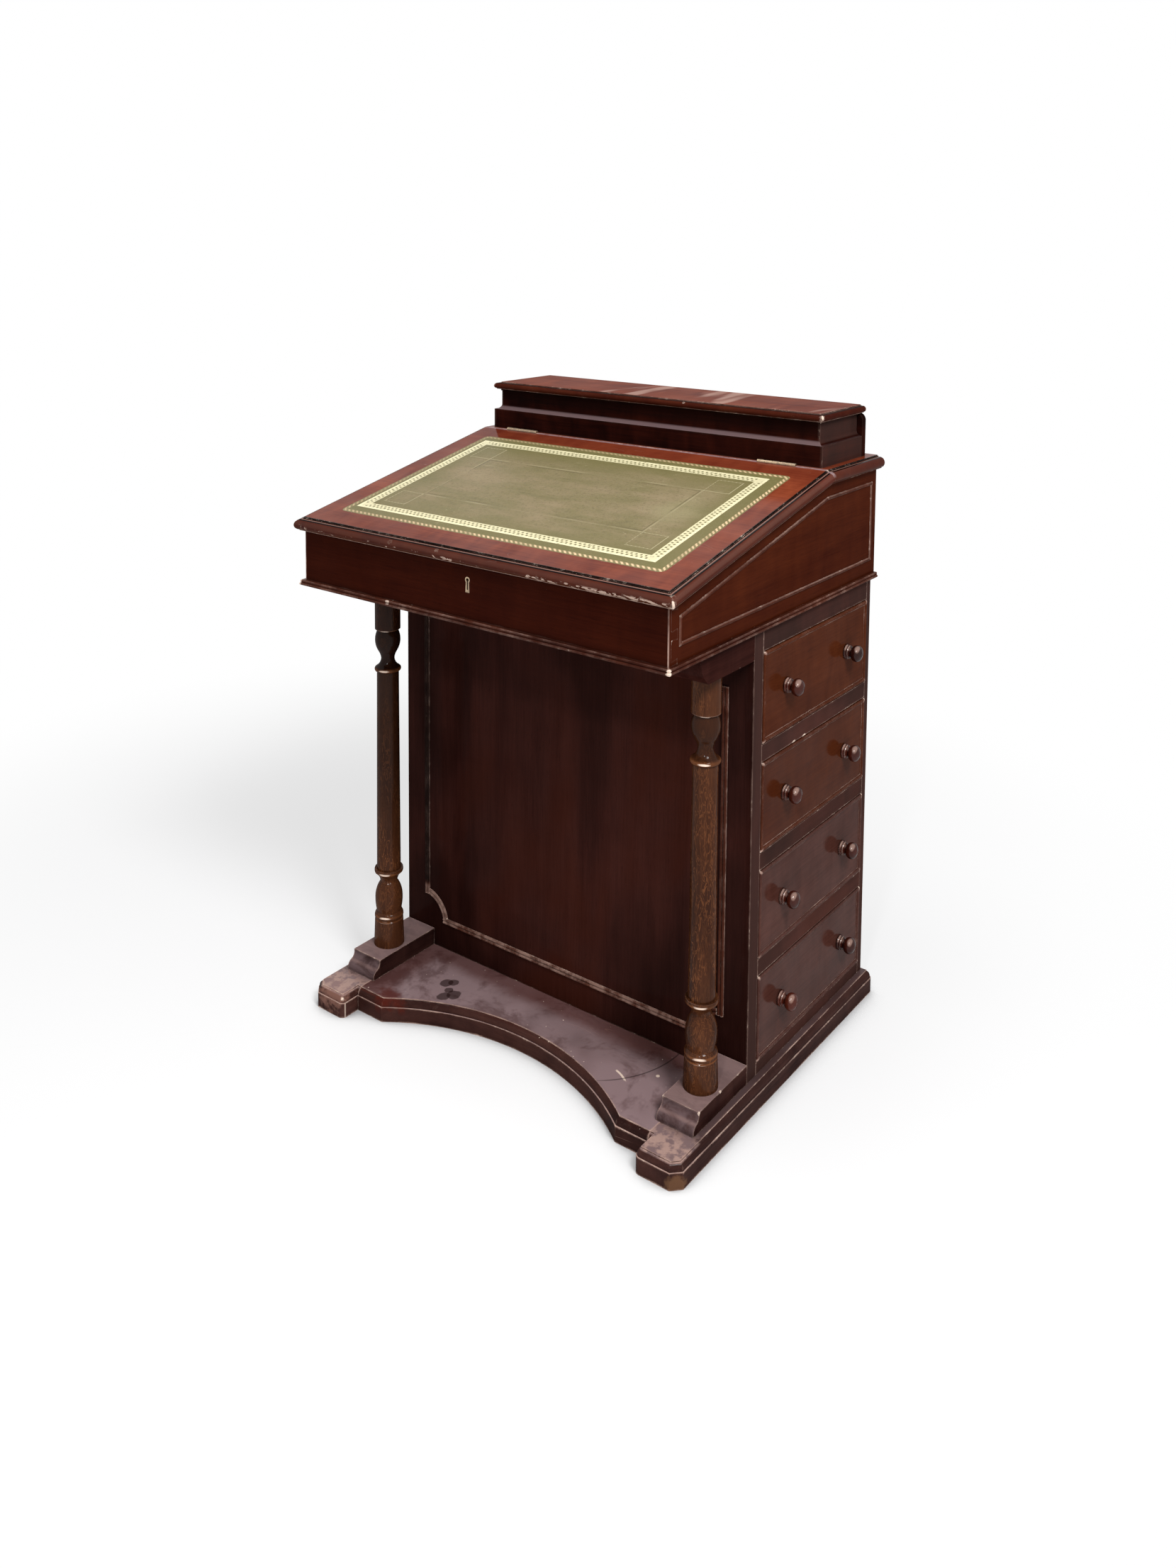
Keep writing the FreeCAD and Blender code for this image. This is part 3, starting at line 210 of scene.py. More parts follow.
class Finish:
    """A material under construction, with the place its patterns read and its tone so far."""

    def __init__(self, owner):
        owner.use_nodes = True
        self.owner, self.tree = owner, owner.node_tree
        self.tree.nodes.clear()
        self.place = self.tone = None

    def add(self, kind, settings=None, sockets=None):
        """Adds a node, gives it its settings, then its sockets' values or links."""
        node = self.tree.nodes.new(kind)
        for field, value in (settings or {}).items():
            if field == "stops":
                ramp = node.color_ramp.elements
                ramp[0].position, ramp[0].color = value[0]
                ramp[1].position, ramp[1].color = value[-1]
                for position, tone in value[1:-1]:
                    ramp.new(position).color = tone
            else:
                setattr(node, field, value)
        for socket, value in (sockets or {}).items():
            if isinstance(value, Value):
                value = value.socket
            if isinstance(value, bpy.types.NodeSocket):
                self.tree.links.new(value, node.inputs[socket])
            elif value is not None:
                node.inputs[socket].default_value = value
        return node

    def math(self, operation, *parts):
        node = self.add("ShaderNodeMath", {"operation": operation}, dict(enumerate(parts)))
        return Value(self, node.outputs[0])

    def coordinates(self, kind="Object"):
        return self.add("ShaderNodeTexCoord").outputs[kind]

    def split(self, vector):
        node = self.add("ShaderNodeSeparateXYZ", None, {0: vector})
        return [Value(self, socket) for socket in node.outputs]

    def noise(self, stretch, detail=2.0, roughness=0.5, distortion=0.0, seed=0.0):
        """Cloudy noise from 0 to 1; stretch is its lumps to the metre, or those along X, Y and Z."""
        scale = stretch if isinstance(stretch, tuple) else (stretch,) * 3
        moved = self.add(
            "ShaderNodeMapping", None,
            {"Vector": self.place, "Location": (seed, seed * 1.7, seed * 2.3), "Scale": scale})
        node = self.add(
            "ShaderNodeTexNoise", None,
            {"Vector": moved.outputs[0], "Scale": 1.0, "Detail": detail, "Roughness": roughness,
             "Distortion": distortion})
        return Value(self, node.outputs[0])

    def ease(self, value, low, high, start=0.0, end=1.0):
        """Goes smoothly from start to end as the value goes from low to high."""
        if low > high:
            low, high, start, end = high, low, end, start
        node = self.add(
            "ShaderNodeMapRange", {"interpolation_type": "SMOOTHSTEP"},
            {0: value, 1: low, 2: high, 3: start, 4: end})
        return Value(self, node.outputs[0])

    def blend(self, factor, first, second):
        """Mixes two colours."""
        node = self.add(
            "ShaderNodeMix", {"data_type": "RGBA"},
            {0: factor, 6: opaque(first), 7: opaque(second)})
        return node.outputs[2]

    def lay(self, factor, colour):
        """Lays a colour over the tone so far."""
        self.tone = self.blend(factor, self.tone, colour)

    def ramp(self, factor, *stops):
        """Colours along a value; each stop is (position, colour)."""
        stops = [(position, opaque(tone)) for position, tone in stops]
        node = self.add("ShaderNodeValToRGB", {"stops": stops}, {0: factor})
        return node.outputs[0]

    def away(self, point):
        """Distance from a point, in metres."""
        node = self.add("ShaderNodeVectorMath", {"operation": "DISTANCE"}, {0: self.place, 1: point})
        return Value(self, node.outputs["Value"])

    def line(self, distance, half_width, core):
        """A line where a distance is nought, full within its core and gone beyond its half width."""
        return self.ease(abs(distance), half_width, core)

    def between(self, value, low, high, soft):
        """1 where a value is between two, eased over a soft stretch inside each."""
        return self.ease(value, low, low + soft) * self.ease(value, high, high - soft)

    def spot(self, point, radius, ragged, core, rim=1.0):
        """A ragged spot; its core and rim are shares of the radius."""
        return self.ease(self.away(point) / radius + ragged, rim, core)

    def threads(self, field, width):
        """Thin wavering lines, where a noise crosses its middle."""
        return self.line(field - 0.5, width, width * 0.4)

    def inner(self, distance, inside):
        """1 on open faces, less within distance of an arris (inside) or of a corner."""
        node = self.add(
            "ShaderNodeAmbientOcclusion", {"samples": 6, "inside": inside, "only_local": inside},
            {"Distance": distance})
        return Value(self, node.outputs["AO"])

    def bump(self, height, distance):
        return self.add("ShaderNodeBump", None, {"Height": height, "Distance": distance}).outputs[0]

    def surface(self, **sockets):
        """Ends the material in one shader and gives it back; underscores stand for spaces."""
        sockets = {name.replace("_", " "): value for name, value in sockets.items()}
        shader = self.add("ShaderNodeBsdfPrincipled", None, sockets)
        return self.end(shader)

    def end_mixed(self, factor, first, second):
        """Ends in a mix of two shaders, the second one where the factor is 1."""
        sockets = {0: factor, 1: first.outputs[0], 2: second.outputs[0]}
        return self.end(self.add("ShaderNodeMixShader", None, sockets))

    def end(self, shader):
        world = isinstance(self.owner, bpy.types.World)
        kind = "ShaderNodeOutputWorld" if world else "ShaderNodeOutputMaterial"
        self.add(kind, None, {0: shader.outputs[0]})
        return self.owner


def opaque(tone):
    """A colour as the nodes take it, with its alpha; a socket stays as it is."""
    return tone if isinstance(tone, bpy.types.NodeSocket) else (*tone[:3], 1.0)


def mixed(first, second, share):
    """A plain colour between two."""
    return [a + (b - a) * share for a, b in zip(first, second)]


class Cut(NamedTuple):
    """How a board was cut, polished and used."""

    tones: str                # which of the WOODS
    grain: str = "X"          # axes that the grain runs along
    seed: float = 0.0
    stripe: float = 0.7       # strength of the striped figure
    mottle: float = 0.25      # strength of the figure across the grain
    reach: float = 0.0025     # how far from an arris the wood is rubbed, in metres
    wear: float = 0.7         # how strongly
    chips: float = 0.35       # how many chips the arrises have; below 0 spares mitres too
    dust: float = 0.0
    scratches: float = 0.0
    gloss: float = 0.0        # reflection of the bare polish
    coat: float = 0.1         # reflection of the wax on it
    upright: float = 0.3      # share of that reflection on upright faces
    roughness: float = 0.3
    bare: tuple = ()          # knocked places: x, y, z and radius in metres
    marks: object = None      # a function that adds a piece's own marks


def mahogany(name, cut):
    """A polished wood with stripes, fibres, pores, rubbed and chipped arrises, wax and a dusty film,
    and painted shade in its corners.
    """
    colours = bpy.context.scene.desk_woods
    dark = getattr(colours, cut.tones + "_dark")
    light = getattr(colours, cut.tones + "_light")
    wood = Finish(bpy.data.materials.new(name))
    wood.place = wood.coordinates()
    facing = wood.split(wood.coordinates("Normal"))

    def own(step, stretch, detail, roughness=0.5, distortion=0.0):
        """Noise of this board's own; a pair of stretches runs along and across its grain."""
        if isinstance(stretch, tuple) and len(stretch) == 2:
            along, across = stretch
            stretch = tuple(along if axis in cut.grain else across for axis in "XYZ")
        return wood.noise(stretch, detail, roughness, distortion, cut.seed + step)

    stripes = own(0, (2.6, 34), 3, 0.55, 0.5)
    bands = own(3, (1.2, 9), 1, 0.5, 0.3)
    fibres = own(5, (16, 420), 2, 0.6)
    pores = own(7, (70, 1500), 1)
    flame = own(11, (42, 16), 2, 0.5, 0.6)
    clouds = own(13, 6, 3, 0.6)

    figure = (
        0.5
        + (stripes - 0.5) * (1.3 * cut.stripe)
        + (bands - 0.5) * (1.1 * cut.stripe)
        + (fibres - 0.5) * 0.25
        + (flame - 0.5) * (1.6 * cut.mottle))
    wood.tone = wood.ramp(
        figure,
        (0.0, mixed(dark, BLACK, 0.35)), (0.3, dark), (0.62, mixed(dark, light, 0.6)),
        (0.85, light), (1.0, mixed(light, colours.rubbed, 0.2)))
    wood.lay(wood.ease(pores, 0.62, 0.74) * 0.35, mixed(dark, BLACK, 0.5))
    wood.lay(wood.ease(clouds, 0.42, 0.7) * 0.4, mixed(dark, light, 0.12))

    # painted shade with grime: darker, and with less wax, within 9 mm of a corner or of a
    # neighbouring part
    grime_and_shade = wood.ease(1 - wood.inner(0.009, False), 0.25, 0.8) * 0.75
    wood.lay(grime_and_shade, colours.grime_and_shade)

    level = wood.ease(facing[2], 0.9, 0.99)
    film = level * wood.ease(clouds, 0.32, 0.62, 0.45, 1.0) * cut.dust
    if cut.dust:
        wood.lay(film, colours.dust)

    scratch_field = own(23, (9, 37, 21), 2, 0.4, 0.8)
    scratch_gate = own(29, 16, 1)
    scratches = wood.threads(scratch_field, 0.004) * wood.ease(scratch_gate, 0.58, 0.66)
    wood.lay(scratches * cut.scratches, colours.rubbed)

    if cut.marks:
        cut.marks(wood, colours, facing)

    # arrises: rubbed broadly, pale enough to serve as painted highlights too, chipped in small
    # bites, knocked bare where they were hit
    arris = (1 - wood.inner(cut.reach, True)) * 2
    rub_noise = own(17, 48, 3, 0.65)
    chip_noise = own(19, 190, 2, 0.6)
    rubbed = wood.ease(arris + (rub_noise - 0.5) * 1.4, 0.5, 0.95) * cut.wear * (1 - grime_and_shade)
    rubbed = rubbed * wood.ease(clouds, 0.36, 0.6, 0.4, 1.0)
    bite = arris * 0.8 + (chip_noise - 0.5) * 1.9 + (rub_noise - 0.5) * 1.5
    deep = 1.45 - 0.6 * cut.chips
    chipped = wood.ease(bite, deep, deep + 0.07)
    for *point, radius in cut.bare:
        knock = wood.spot(point, radius, (chip_noise - 0.5) * 2.6, 0.8)
        chipped = chipped.math("MAXIMUM", knock * wood.ease(arris, 0.1, 0.35))
    wood.lay(rubbed, colours.rubbed)
    wood.lay(chipped * wood.ease(rub_noise, 0.35, 0.65, 0.55, 0.95), colours.chipped)

    smear = own(31, 11, 4, 0.65, 0.4)
    roughness = (
        cut.roughness
        + (smear - 0.5) * 0.2
        + (rubbed + chipped) * 0.18
        + scratches * 0.15
        + film * 0.3)
    wax = wood.ease(smear, 0.25, 0.8, cut.coat, cut.coat * 0.6) * (1 - chipped) * (1 - grime_and_shade)
    coat = wax * wood.ease(level, 0, 1, cut.upright, 1.0)
    ripple = own(37, 38, 2)
    height = ripple * 0.6 - wood.ease(pores, 0.6, 0.74) * 0.18 - chipped * 0.8 + fibres * 0.08
    return wood.surface(
        Base_Color=wood.tone, Roughness=roughness, Specular_IOR_Level=cut.gloss,
        Coat_Weight=coat, Coat_Roughness=0.12, Coat_IOR=1.5,
        Normal=wood.bump(height, 0.00022))


# -------- marks of single pieces
def slope_marks(wood, colours, facing):
    """Painted shade in the quirk lines round the slope, a darker nosing with a painted sheen, a
    painted highlight along the joint, and painted shade on faces that look down.
    """
    across, up, height = wood.split(on_slope(wood))
    half_flat = 0.2661         # half the width between the end nosings
    under_side = 0.0155        # how far below the top the nosing's lower edge is
    fixed = wood.ease(up, SLOPE_LENGTH + 0.0002, SLOPE_LENGTH + 0.0004)
    round_edge = (abs(across) - half_flat).math("MAXIMUM", (0 - up) * (1 - fixed) - fixed)
    nosing = wood.ease(round_edge, 0.001, 0.0025)
    wood.lay(nosing * 0.7, colours.bead_dark)
    far = wood.ease(up, 0.298, 0.312) * (1 - fixed)
    wood.lay(far * 0.4, colours.slope_dark)

    hollow = wood.noise(120, 2, 0.6, seed=51)
    # painted shade: two dark quirk lines round the nosing, broken here and there
    quirk_shade = (
        wood.line(round_edge - 0.0004, 0.0016, 0.0008)
        + wood.line(round_edge - 0.0046, 0.0014, 0.0006)
    ) * wood.ease(hollow, 0.2, 0.4, 0.7, 1.0)
    between = wood.line(round_edge - 0.0026, 0.0014, 0.0006)
    # painted sheen along the nosing's round, strongest on faces that look right
    sheen = wood.line(height + 0.0055, 0.0035, 0.001) * nosing
    sheen = sheen * wood.ease(facing[0], 0.1, 0.5, 0.6, 1.0) * (1 - fixed)
    wood.lay((between * 0.3).math("MAXIMUM", sheen * 0.06), colours.rubbed)

    flake_field = wood.noise((95, 95, 230), 3, 0.65, 0.4, 53)
    flaked = flake_field + wood.ease(across, 0.03, 0.2, 0.0, 0.11)
    low = wood.line(height + 0.0125, 0.005, 0.002) * nosing
    low = low * wood.ease(facing[1], -0.1, -0.4) * (1 - fixed)
    flakes = wood.ease(flaked, 0.62, 0.65) * low
    wood.lay(flakes * 0.9, mixed(colours.chipped, colours.slope_light, 0.3))
    # the quirk lines' painted shade
    wood.lay(quirk_shade, colours.grime_and_shade)

    # painted highlight along the joint with the fixed board, on faces that look up
    joint = wood.line(up - SLOPE_LENGTH, 0.0042, 0.0012) * wood.ease(facing[2], 0.1, 0.6)
    wood.lay(joint * wood.ease(hollow, 0.3, 0.55, 0.35, 0.8), colours.dust)
    # painted shade on faces that look down
    underside_shade = wood.ease(facing[2], -0.3, -0.8)
    wood.lay(underside_shade * 0.55, mixed(colours.bead_dark, colours.lining_dark, 0.25))
    under = wood.line(height + under_side, 0.0011, 0.0005) * wood.ease(round_edge, -0.001, 0.001)
    wood.lay(under * (1 - fixed) * 0.5, colours.rubbed)


# dark stains on the platform: x, y and radius in metres
STAINS = (
    (-0.1405, -0.1150, 0.0085), (-0.1340, -0.1095, 0.0075), (-0.1240, -0.1390, 0.0100),
    (-0.1160, -0.1300, 0.0105), (-0.1270, -0.1260, 0.0060), (0.1500, -0.1900, 0.0120),
)


def platform_marks(wood, colours, facing):
    """Cleaner wood along the board and block, stains, scratches and a paint spot."""
    x, y, _ = wood.split(wood.place)
    drift = wood.noise(40, 3, 0.6, seed=61)
    blotch = wood.noise(17, 4, 0.7, 0.4, 63)
    top = wood.ease(facing[2], 0.6, 0.95)

    wander = (drift - 0.5) * 0.014
    beside_board = wood.ease(y + wander, -0.098, -0.072)
    beside_block = wood.ease(x + wander, -0.172, -0.202)
    clean = beside_board.math("MAXIMUM", beside_block)
    wood.lay(clean * top * 0.7, mixed(colours.slope_dark, colours.plinth_light, 0.5))
    dull_red = mixed(colours.plinth_dark, colours.slope_dark, 0.35)
    wood.lay(wood.ease(blotch, 0.46, 0.64) * top * 0.5, dull_red)
    worn_red = wood.spot((-0.177, -0.181, PLATFORM_TOP), 0.022, (drift - 0.5) * 2.4, 0.4)
    wood.lay(worn_red * 0.7, colours.slope_dark)
    for *centre, radius in STAINS:
        stain = wood.spot((*centre, PLATFORM_TOP), radius, (drift - 0.5) * 1.1, 0.8)
        wood.lay(stain * 0.75, colours.plinth_dark)

    # a white curl and a long score, each part of a circle, and a spot of paint
    curl = wood.line(wood.away((0.1225, -0.1703, PLATFORM_TOP)) - 0.045, 0.0017, 0.0008)
    curl = curl * wood.ease(y, -0.137, -0.133) * wood.ease(x, 0.131, 0.134)
    wood.lay(curl * top * 0.9, colours.chipped)
    score = wood.line(wood.away((0.055, -0.06, PLATFORM_TOP)) - 0.118, 0.0013, 0.0005)
    score = score * wood.ease(y, -0.165, -0.14) * wood.ease(x, 0.1, 0.12)
    wood.lay(score * top * 0.6, colours.grime_and_shade)
    paint = wood.ease(wood.away((0.176, -0.1064, PLATFORM_TOP)), 0.0026, 0.0018)
    specks = wood.ease(wood.noise(210, 1, 0.5, seed=67), 0.755, 0.79) * top
    wood.lay(paint + specks * 0.7, colours.chipped)


def block_marks(wood, colours, facing):
    """Dust smeared over the blocks' moulded fronts, thicker on their tops."""
    smudge = wood.noise((34, 60, 60), 4, 0.65, 0.5, 65)
    front = wood.ease(facing[1], -0.25, -0.7)
    film = mixed(colours.dust, colours.plinth_dark, 0.5)
    wood.lay(front * wood.ease(smudge, 0.3, 0.65, 0.15, 0.75), film)
    top = wood.ease(facing[2], 0.7, 0.95)
    layer = mixed(colours.dust, colours.lining_dark, 0.3)
    wood.lay(top * wood.ease(smudge, 0.35, 0.6, 0.4, 0.75), layer)


# the columns' turned rings: height of the crest and half its width in metres
RINGS = (
    (0.0850, 0.0016), (0.0905, 0.0018), (0.1475, 0.0026), (0.4165, 0.0030), (0.4678, 0.0012),
)


def column_marks(wood, colours, facing):
    """Short golden flecks up the shafts, painted highlights on the rings, painted shade on the left
    column, and darker wood near the tops.
    """
    x, _, z = wood.split(wood.place)
    waver = wood.noise((260, 260, 52), 2, 0.6, 1.2, 71)
    gate = wood.noise((60, 60, 14), 2, 0.5, seed=73)
    gold = mixed(colours.lining_dark, colours.slope_light, 0.3)
    flecks = wood.threads(waver, 0.04) * wood.ease(gate, 0.34, 0.56, 0.15, 1.0)
    flecks = flecks * wood.ease(z, 0.4, 0.2, 0.35, 0.55) * wood.ease(z, 0.14, 0.16, 0.65, 1.0)
    wood.lay(flecks, gold)
    head_foot, head_top = 0.4185, 0.4695
    head = wood.between(z, head_foot, head_top, 0.002)
    wood.lay(head * 0.6, mixed(colours.column_dark, colours.grime_and_shade, 0.5))
    # painted shade: the left column darker at half strength, fading out low down
    shade = wood.ease(x, 0.05, -0.05) * wood.ease(z, 0.1, 0.3) * 0.5
    wood.lay(shade, colours.grime_and_shade)
    # painted highlights on the turned rings' crests: a patchy gold line all round, white on the side
    # that faces front right
    towards = wood.ease(facing[0] * 0.45 - facing[1] * 0.89, 0.88, 0.98)
    for height, half_width in RINGS:
        crest = wood.line(z - height, half_width, half_width * 0.3)
        wood.lay(crest * wood.ease(gate, 0.4, 0.6, 0.25, 0.6), gold)
        wood.lay(crest * towards, colours.chipped)


def knob_marks(wood, colours, facing):
    """A painted highlight on the knobs, on the side that faces up, right and front."""
    knob_highlight = wood.ease(facing[0] * 0.5 - facing[1] * 0.45 + facing[2] * 0.74, 0.8, 0.97)
    wood.lay(knob_highlight * 0.45, colours.rubbed)


def foot_marks(wood, colours, facing):
    """The left toe's top and the right toe's lower corner rubbed to the wood, and a chipped seam."""
    x, y, _ = wood.split(wood.place)
    drift = wood.noise(90, 3, 0.6, seed=81)
    left = wood.spot((-0.243, -0.212, PLATFORM_TOP), 0.026, (drift - 0.5) * 2.2, 0.5, 1.1)
    wood.lay(left * 0.4, mixed(colours.slope_light, colours.rubbed, 0.5))
    top = wood.ease(facing[2], 0.7, 0.95)
    toes = top * wood.ease(y + (drift - 0.5) * 0.05, -0.155, -0.185)
    wood.lay(toes * 0.45, colours.dust)
    wood.lay(toes * wood.ease(drift, 0.4, 0.6, 0.05, 0.65), colours.rubbed)
    right = wood.spot((0.272, -0.213, 0.006), 0.013, (drift - 0.5) * 1.6, 0.6, 1.1)
    wood.lay(right * 0.6, mixed(colours.lining_dark, colours.dust, 0.1))
    corner = wood.spot((-0.2215, -0.2160, 0.026), 0.005, (drift - 0.5) * 1.8, 0.7)
    seam = wood.line(x + 0.2207, 0.0009, 0.0004) * wood.ease(y, -0.211, -0.214)
    wood.lay(corner + seam * wood.ease(drift, 0.3, 0.5), colours.chipped)


def lid_marks(wood, colours, facing):
    """The stationery box's lid: darker all over, painted reflections streaked across its top, and a
    darker nosing below a thin quirk with painted shade in it.
    """
    _, _, z = wood.split(wood.place)
    quirk = 0.7633             # its height, between the nosing and the top
    wood.lay(0.25, colours.slope_dark)
    # painted reflections: pale streaks running front to back across the top, in the rubbed colour
    streaks = wood.noise((11, 2.5, 5), 3, 0.7, 0.3, 77)
    bright = wood.ease(streaks, 0.54, 0.64, 0.06, 0.9) * wood.ease(facing[2], 0.9, 0.99)
    wood.lay(bright * 0.6, colours.rubbed)
    wood.lay(wood.ease(z, quirk + 0.0005, quirk - 0.0005) * 0.7, colours.gallery_dark)
    # painted shade in the quirk
    wood.lay(wood.line(z - quirk, 0.0009, 0.0004) * 0.8, colours.grime_and_shade)


def gallery_marks(wood, colours, facing):
    """Painted shade on the neck under the lid, and a painted sheen on the shoulder over the band
    below.
    """
    _, _, z = wood.split(wood.place)
    neck_foot, darkest = 0.7335, 0.742      # heights on the walls
    # painted sheen on upward faces below the neck
    shoulder = wood.ease(facing[2], 0.2, 0.6) * wood.ease(z, darkest, 0.738)
    wood.lay(shoulder * 0.35, colours.dust)
    # painted shade on the neck under the lid, full from the darkest height up
    wood.lay(wood.ease(z, neck_foot, darkest) * 0.6, colours.grime_and_shade)


def box_marks(wood, colours, facing):
    """The box's front corners rubbed pale, most of all low down."""
    x, y, z = wood.split(wood.place)
    patchy = wood.noise((90, 90, 60), 3, 0.6, seed=57)
    half_width, front = 0.265, 0.2302       # from the desk's middle to the box's faces
    high, low = 0.62, 0.555
    corner = wood.ease(abs(abs(x) - half_width) + abs(y + front), 0.0016, 0.0006)
    end = wood.ease(abs(facing[0]), 0.5, 0.9) * wood.ease(y, -0.204, -0.212)
    wood.lay(end * 0.85, mixed(colours.side_dark, colours.side_light, 0.35))
    worn = corner * wood.ease(patchy, 0.35, 0.6, 0.2, 0.8) * wood.ease(z, high, low, 0.3, 0.9)
    wood.lay(worn, colours.rubbed)


def bottom_marks(wood, colours, facing):
    """The box bottom's edges, stained like the box where they show."""
    edge = wood.ease(abs(facing[2]), 0.6, 0.3)
    wood.lay(edge * 0.9, mixed(colours.box_dark, colours.box_light, 0.4))


def pedestal_marks(wood, colours, facing):
    """Darker and redder clouds, and a little painted sheen on the faces that look right."""
    dull = mixed(colours.dust, colours.lining_dark, 0.5)
    drift = wood.noise((7, 7, 2.6), 3, 0.55, 0.3, 87)
    wood.lay(wood.ease(drift, 0.56, 0.4) * 0.45, colours.grime_and_shade)
    wood.lay(wood.ease(drift, 0.5, 0.68) * 0.4, mixed(colours.side_dark, colours.side_light, 0.3))
    # painted sheen on faces that look right
    wood.lay(wood.ease(facing[0], 0.5, 0.9) * 0.1, dull)


def beading_marks(wood, colours, facing):
    """The kneehole's beading: its curved corners rubbed bright, and painted shade on its left
    uprights.
    """
    x, y, z = wood.split(wood.place)
    wander = wood.noise(60, 3, 0.6, seed=91)
    kneehole = wood.ease(y, -0.05, -0.056)         # leaves out the false drawers' beads
    turn = wood.ease(z, 0.112, 0.104) * wood.ease(x, -0.190, -0.196) * kneehole
    wood.lay(turn * wood.ease(wander, 0.3, 0.6, 0.1, 0.5), colours.rubbed)
    lowest = wood.ease(z, 0.0750, 0.0735) * kneehole
    wood.lay(lowest * wood.ease(wander, 0.4, 0.62, 0.03, 0.4), colours.rubbed)
    # painted shade on the left uprights inside the kneehole
    upright = wood.ease(z, 0.108, 0.116) * wood.ease(x, 0.0, -0.05) * kneehole
    wood.lay(upright * 0.85, colours.grime_and_shade)


def brass(name):
    """Old lacquered brass, dulled in patches and brighter where it is handled."""
    settings = bpy.context.scene.desk_metals
    metal = Finish(bpy.data.materials.new(name))
    metal.place = metal.coordinates()
    clouds = metal.noise(140, 3, 0.6)
    specks = metal.noise(900, 2, 0.5, seed=4)
    brushed = metal.noise((60, 2400, 2400), 2, 0.5, seed=9)
    bright = 1 - metal.inner(0.0012, True)
    dull = metal.ease(clouds, 0.35, 0.65) * (1 - bright)
    metal.tone = metal.blend(dull * 0.8, settings.brass, settings.tarnish)
    metal.lay(metal.ease(specks, 0.64, 0.72) * 0.5, mixed(settings.tarnish, BLACK, 0.6))
    return metal.surface(
        Base_Color=metal.tone, Metallic=metal.ease(dull, 0, 1, 1.0, 0.85),
        Roughness=0.3 + dull * 0.2 + (brushed - 0.5) * 0.12,
        Normal=metal.bump(brushed, 0.00004))


def steel(name):
    """Filed steel with a little rust."""
    settings = bpy.context.scene.desk_metals
    metal = Finish(bpy.data.materials.new(name))
    metal.place = metal.coordinates()
    filed = metal.noise((2600, 90, 90), 2, 0.5)
    rust = metal.ease(metal.noise(160, 4, 0.7), 0.56, 0.7)
    rust_brown = mixed(settings.tarnish, (0.1, 0.02, 0), 0.5)
    return metal.surface(
        Base_Color=metal.blend(rust * 0.7, settings.steel, rust_brown),
        Metallic=1 - rust * 0.5, Roughness=0.32 + filed * 0.1 + rust * 0.3,
        Normal=metal.bump(filed, 0.00005))


def on_slope(finish):
    """Object coordinates turned to run across, up and out of the writing slope."""
    front = JOINT - SLOPE_LENGTH * Vector((0.0, math.cos(SLOPE), math.sin(SLOPE)))
    return finish.add(
        "ShaderNodeMapping", {"vector_type": "TEXTURE"},
        {"Vector": finish.coordinates(), "Location": front, "Rotation": (SLOPE, 0, 0)},
    ).outputs[0]


def rectangle(across, up, half_width, front, rear):
    """How far outside a rectangle on the slope a point lies, in metres; negative inside."""
    sideways = abs(across) - half_width
    lengthways = abs(up - (front + rear) / 2) - (rear - front) / 2
    return sideways.math("MAXIMUM", lengthways), sideways, lengthways


def pressed(hide, distance, half_width):
    """A line pressed with a blunt tool, where a distance is nought."""
    return hide.line(distance, half_width, half_width * 0.35)


def wave(value, pitch, turn=0.0):
    """Swings between -1 and 1 once in each pitch."""
    phase = value * (2 * math.pi / pitch)
    return (phase + turn if turn else phase).math("SINE")


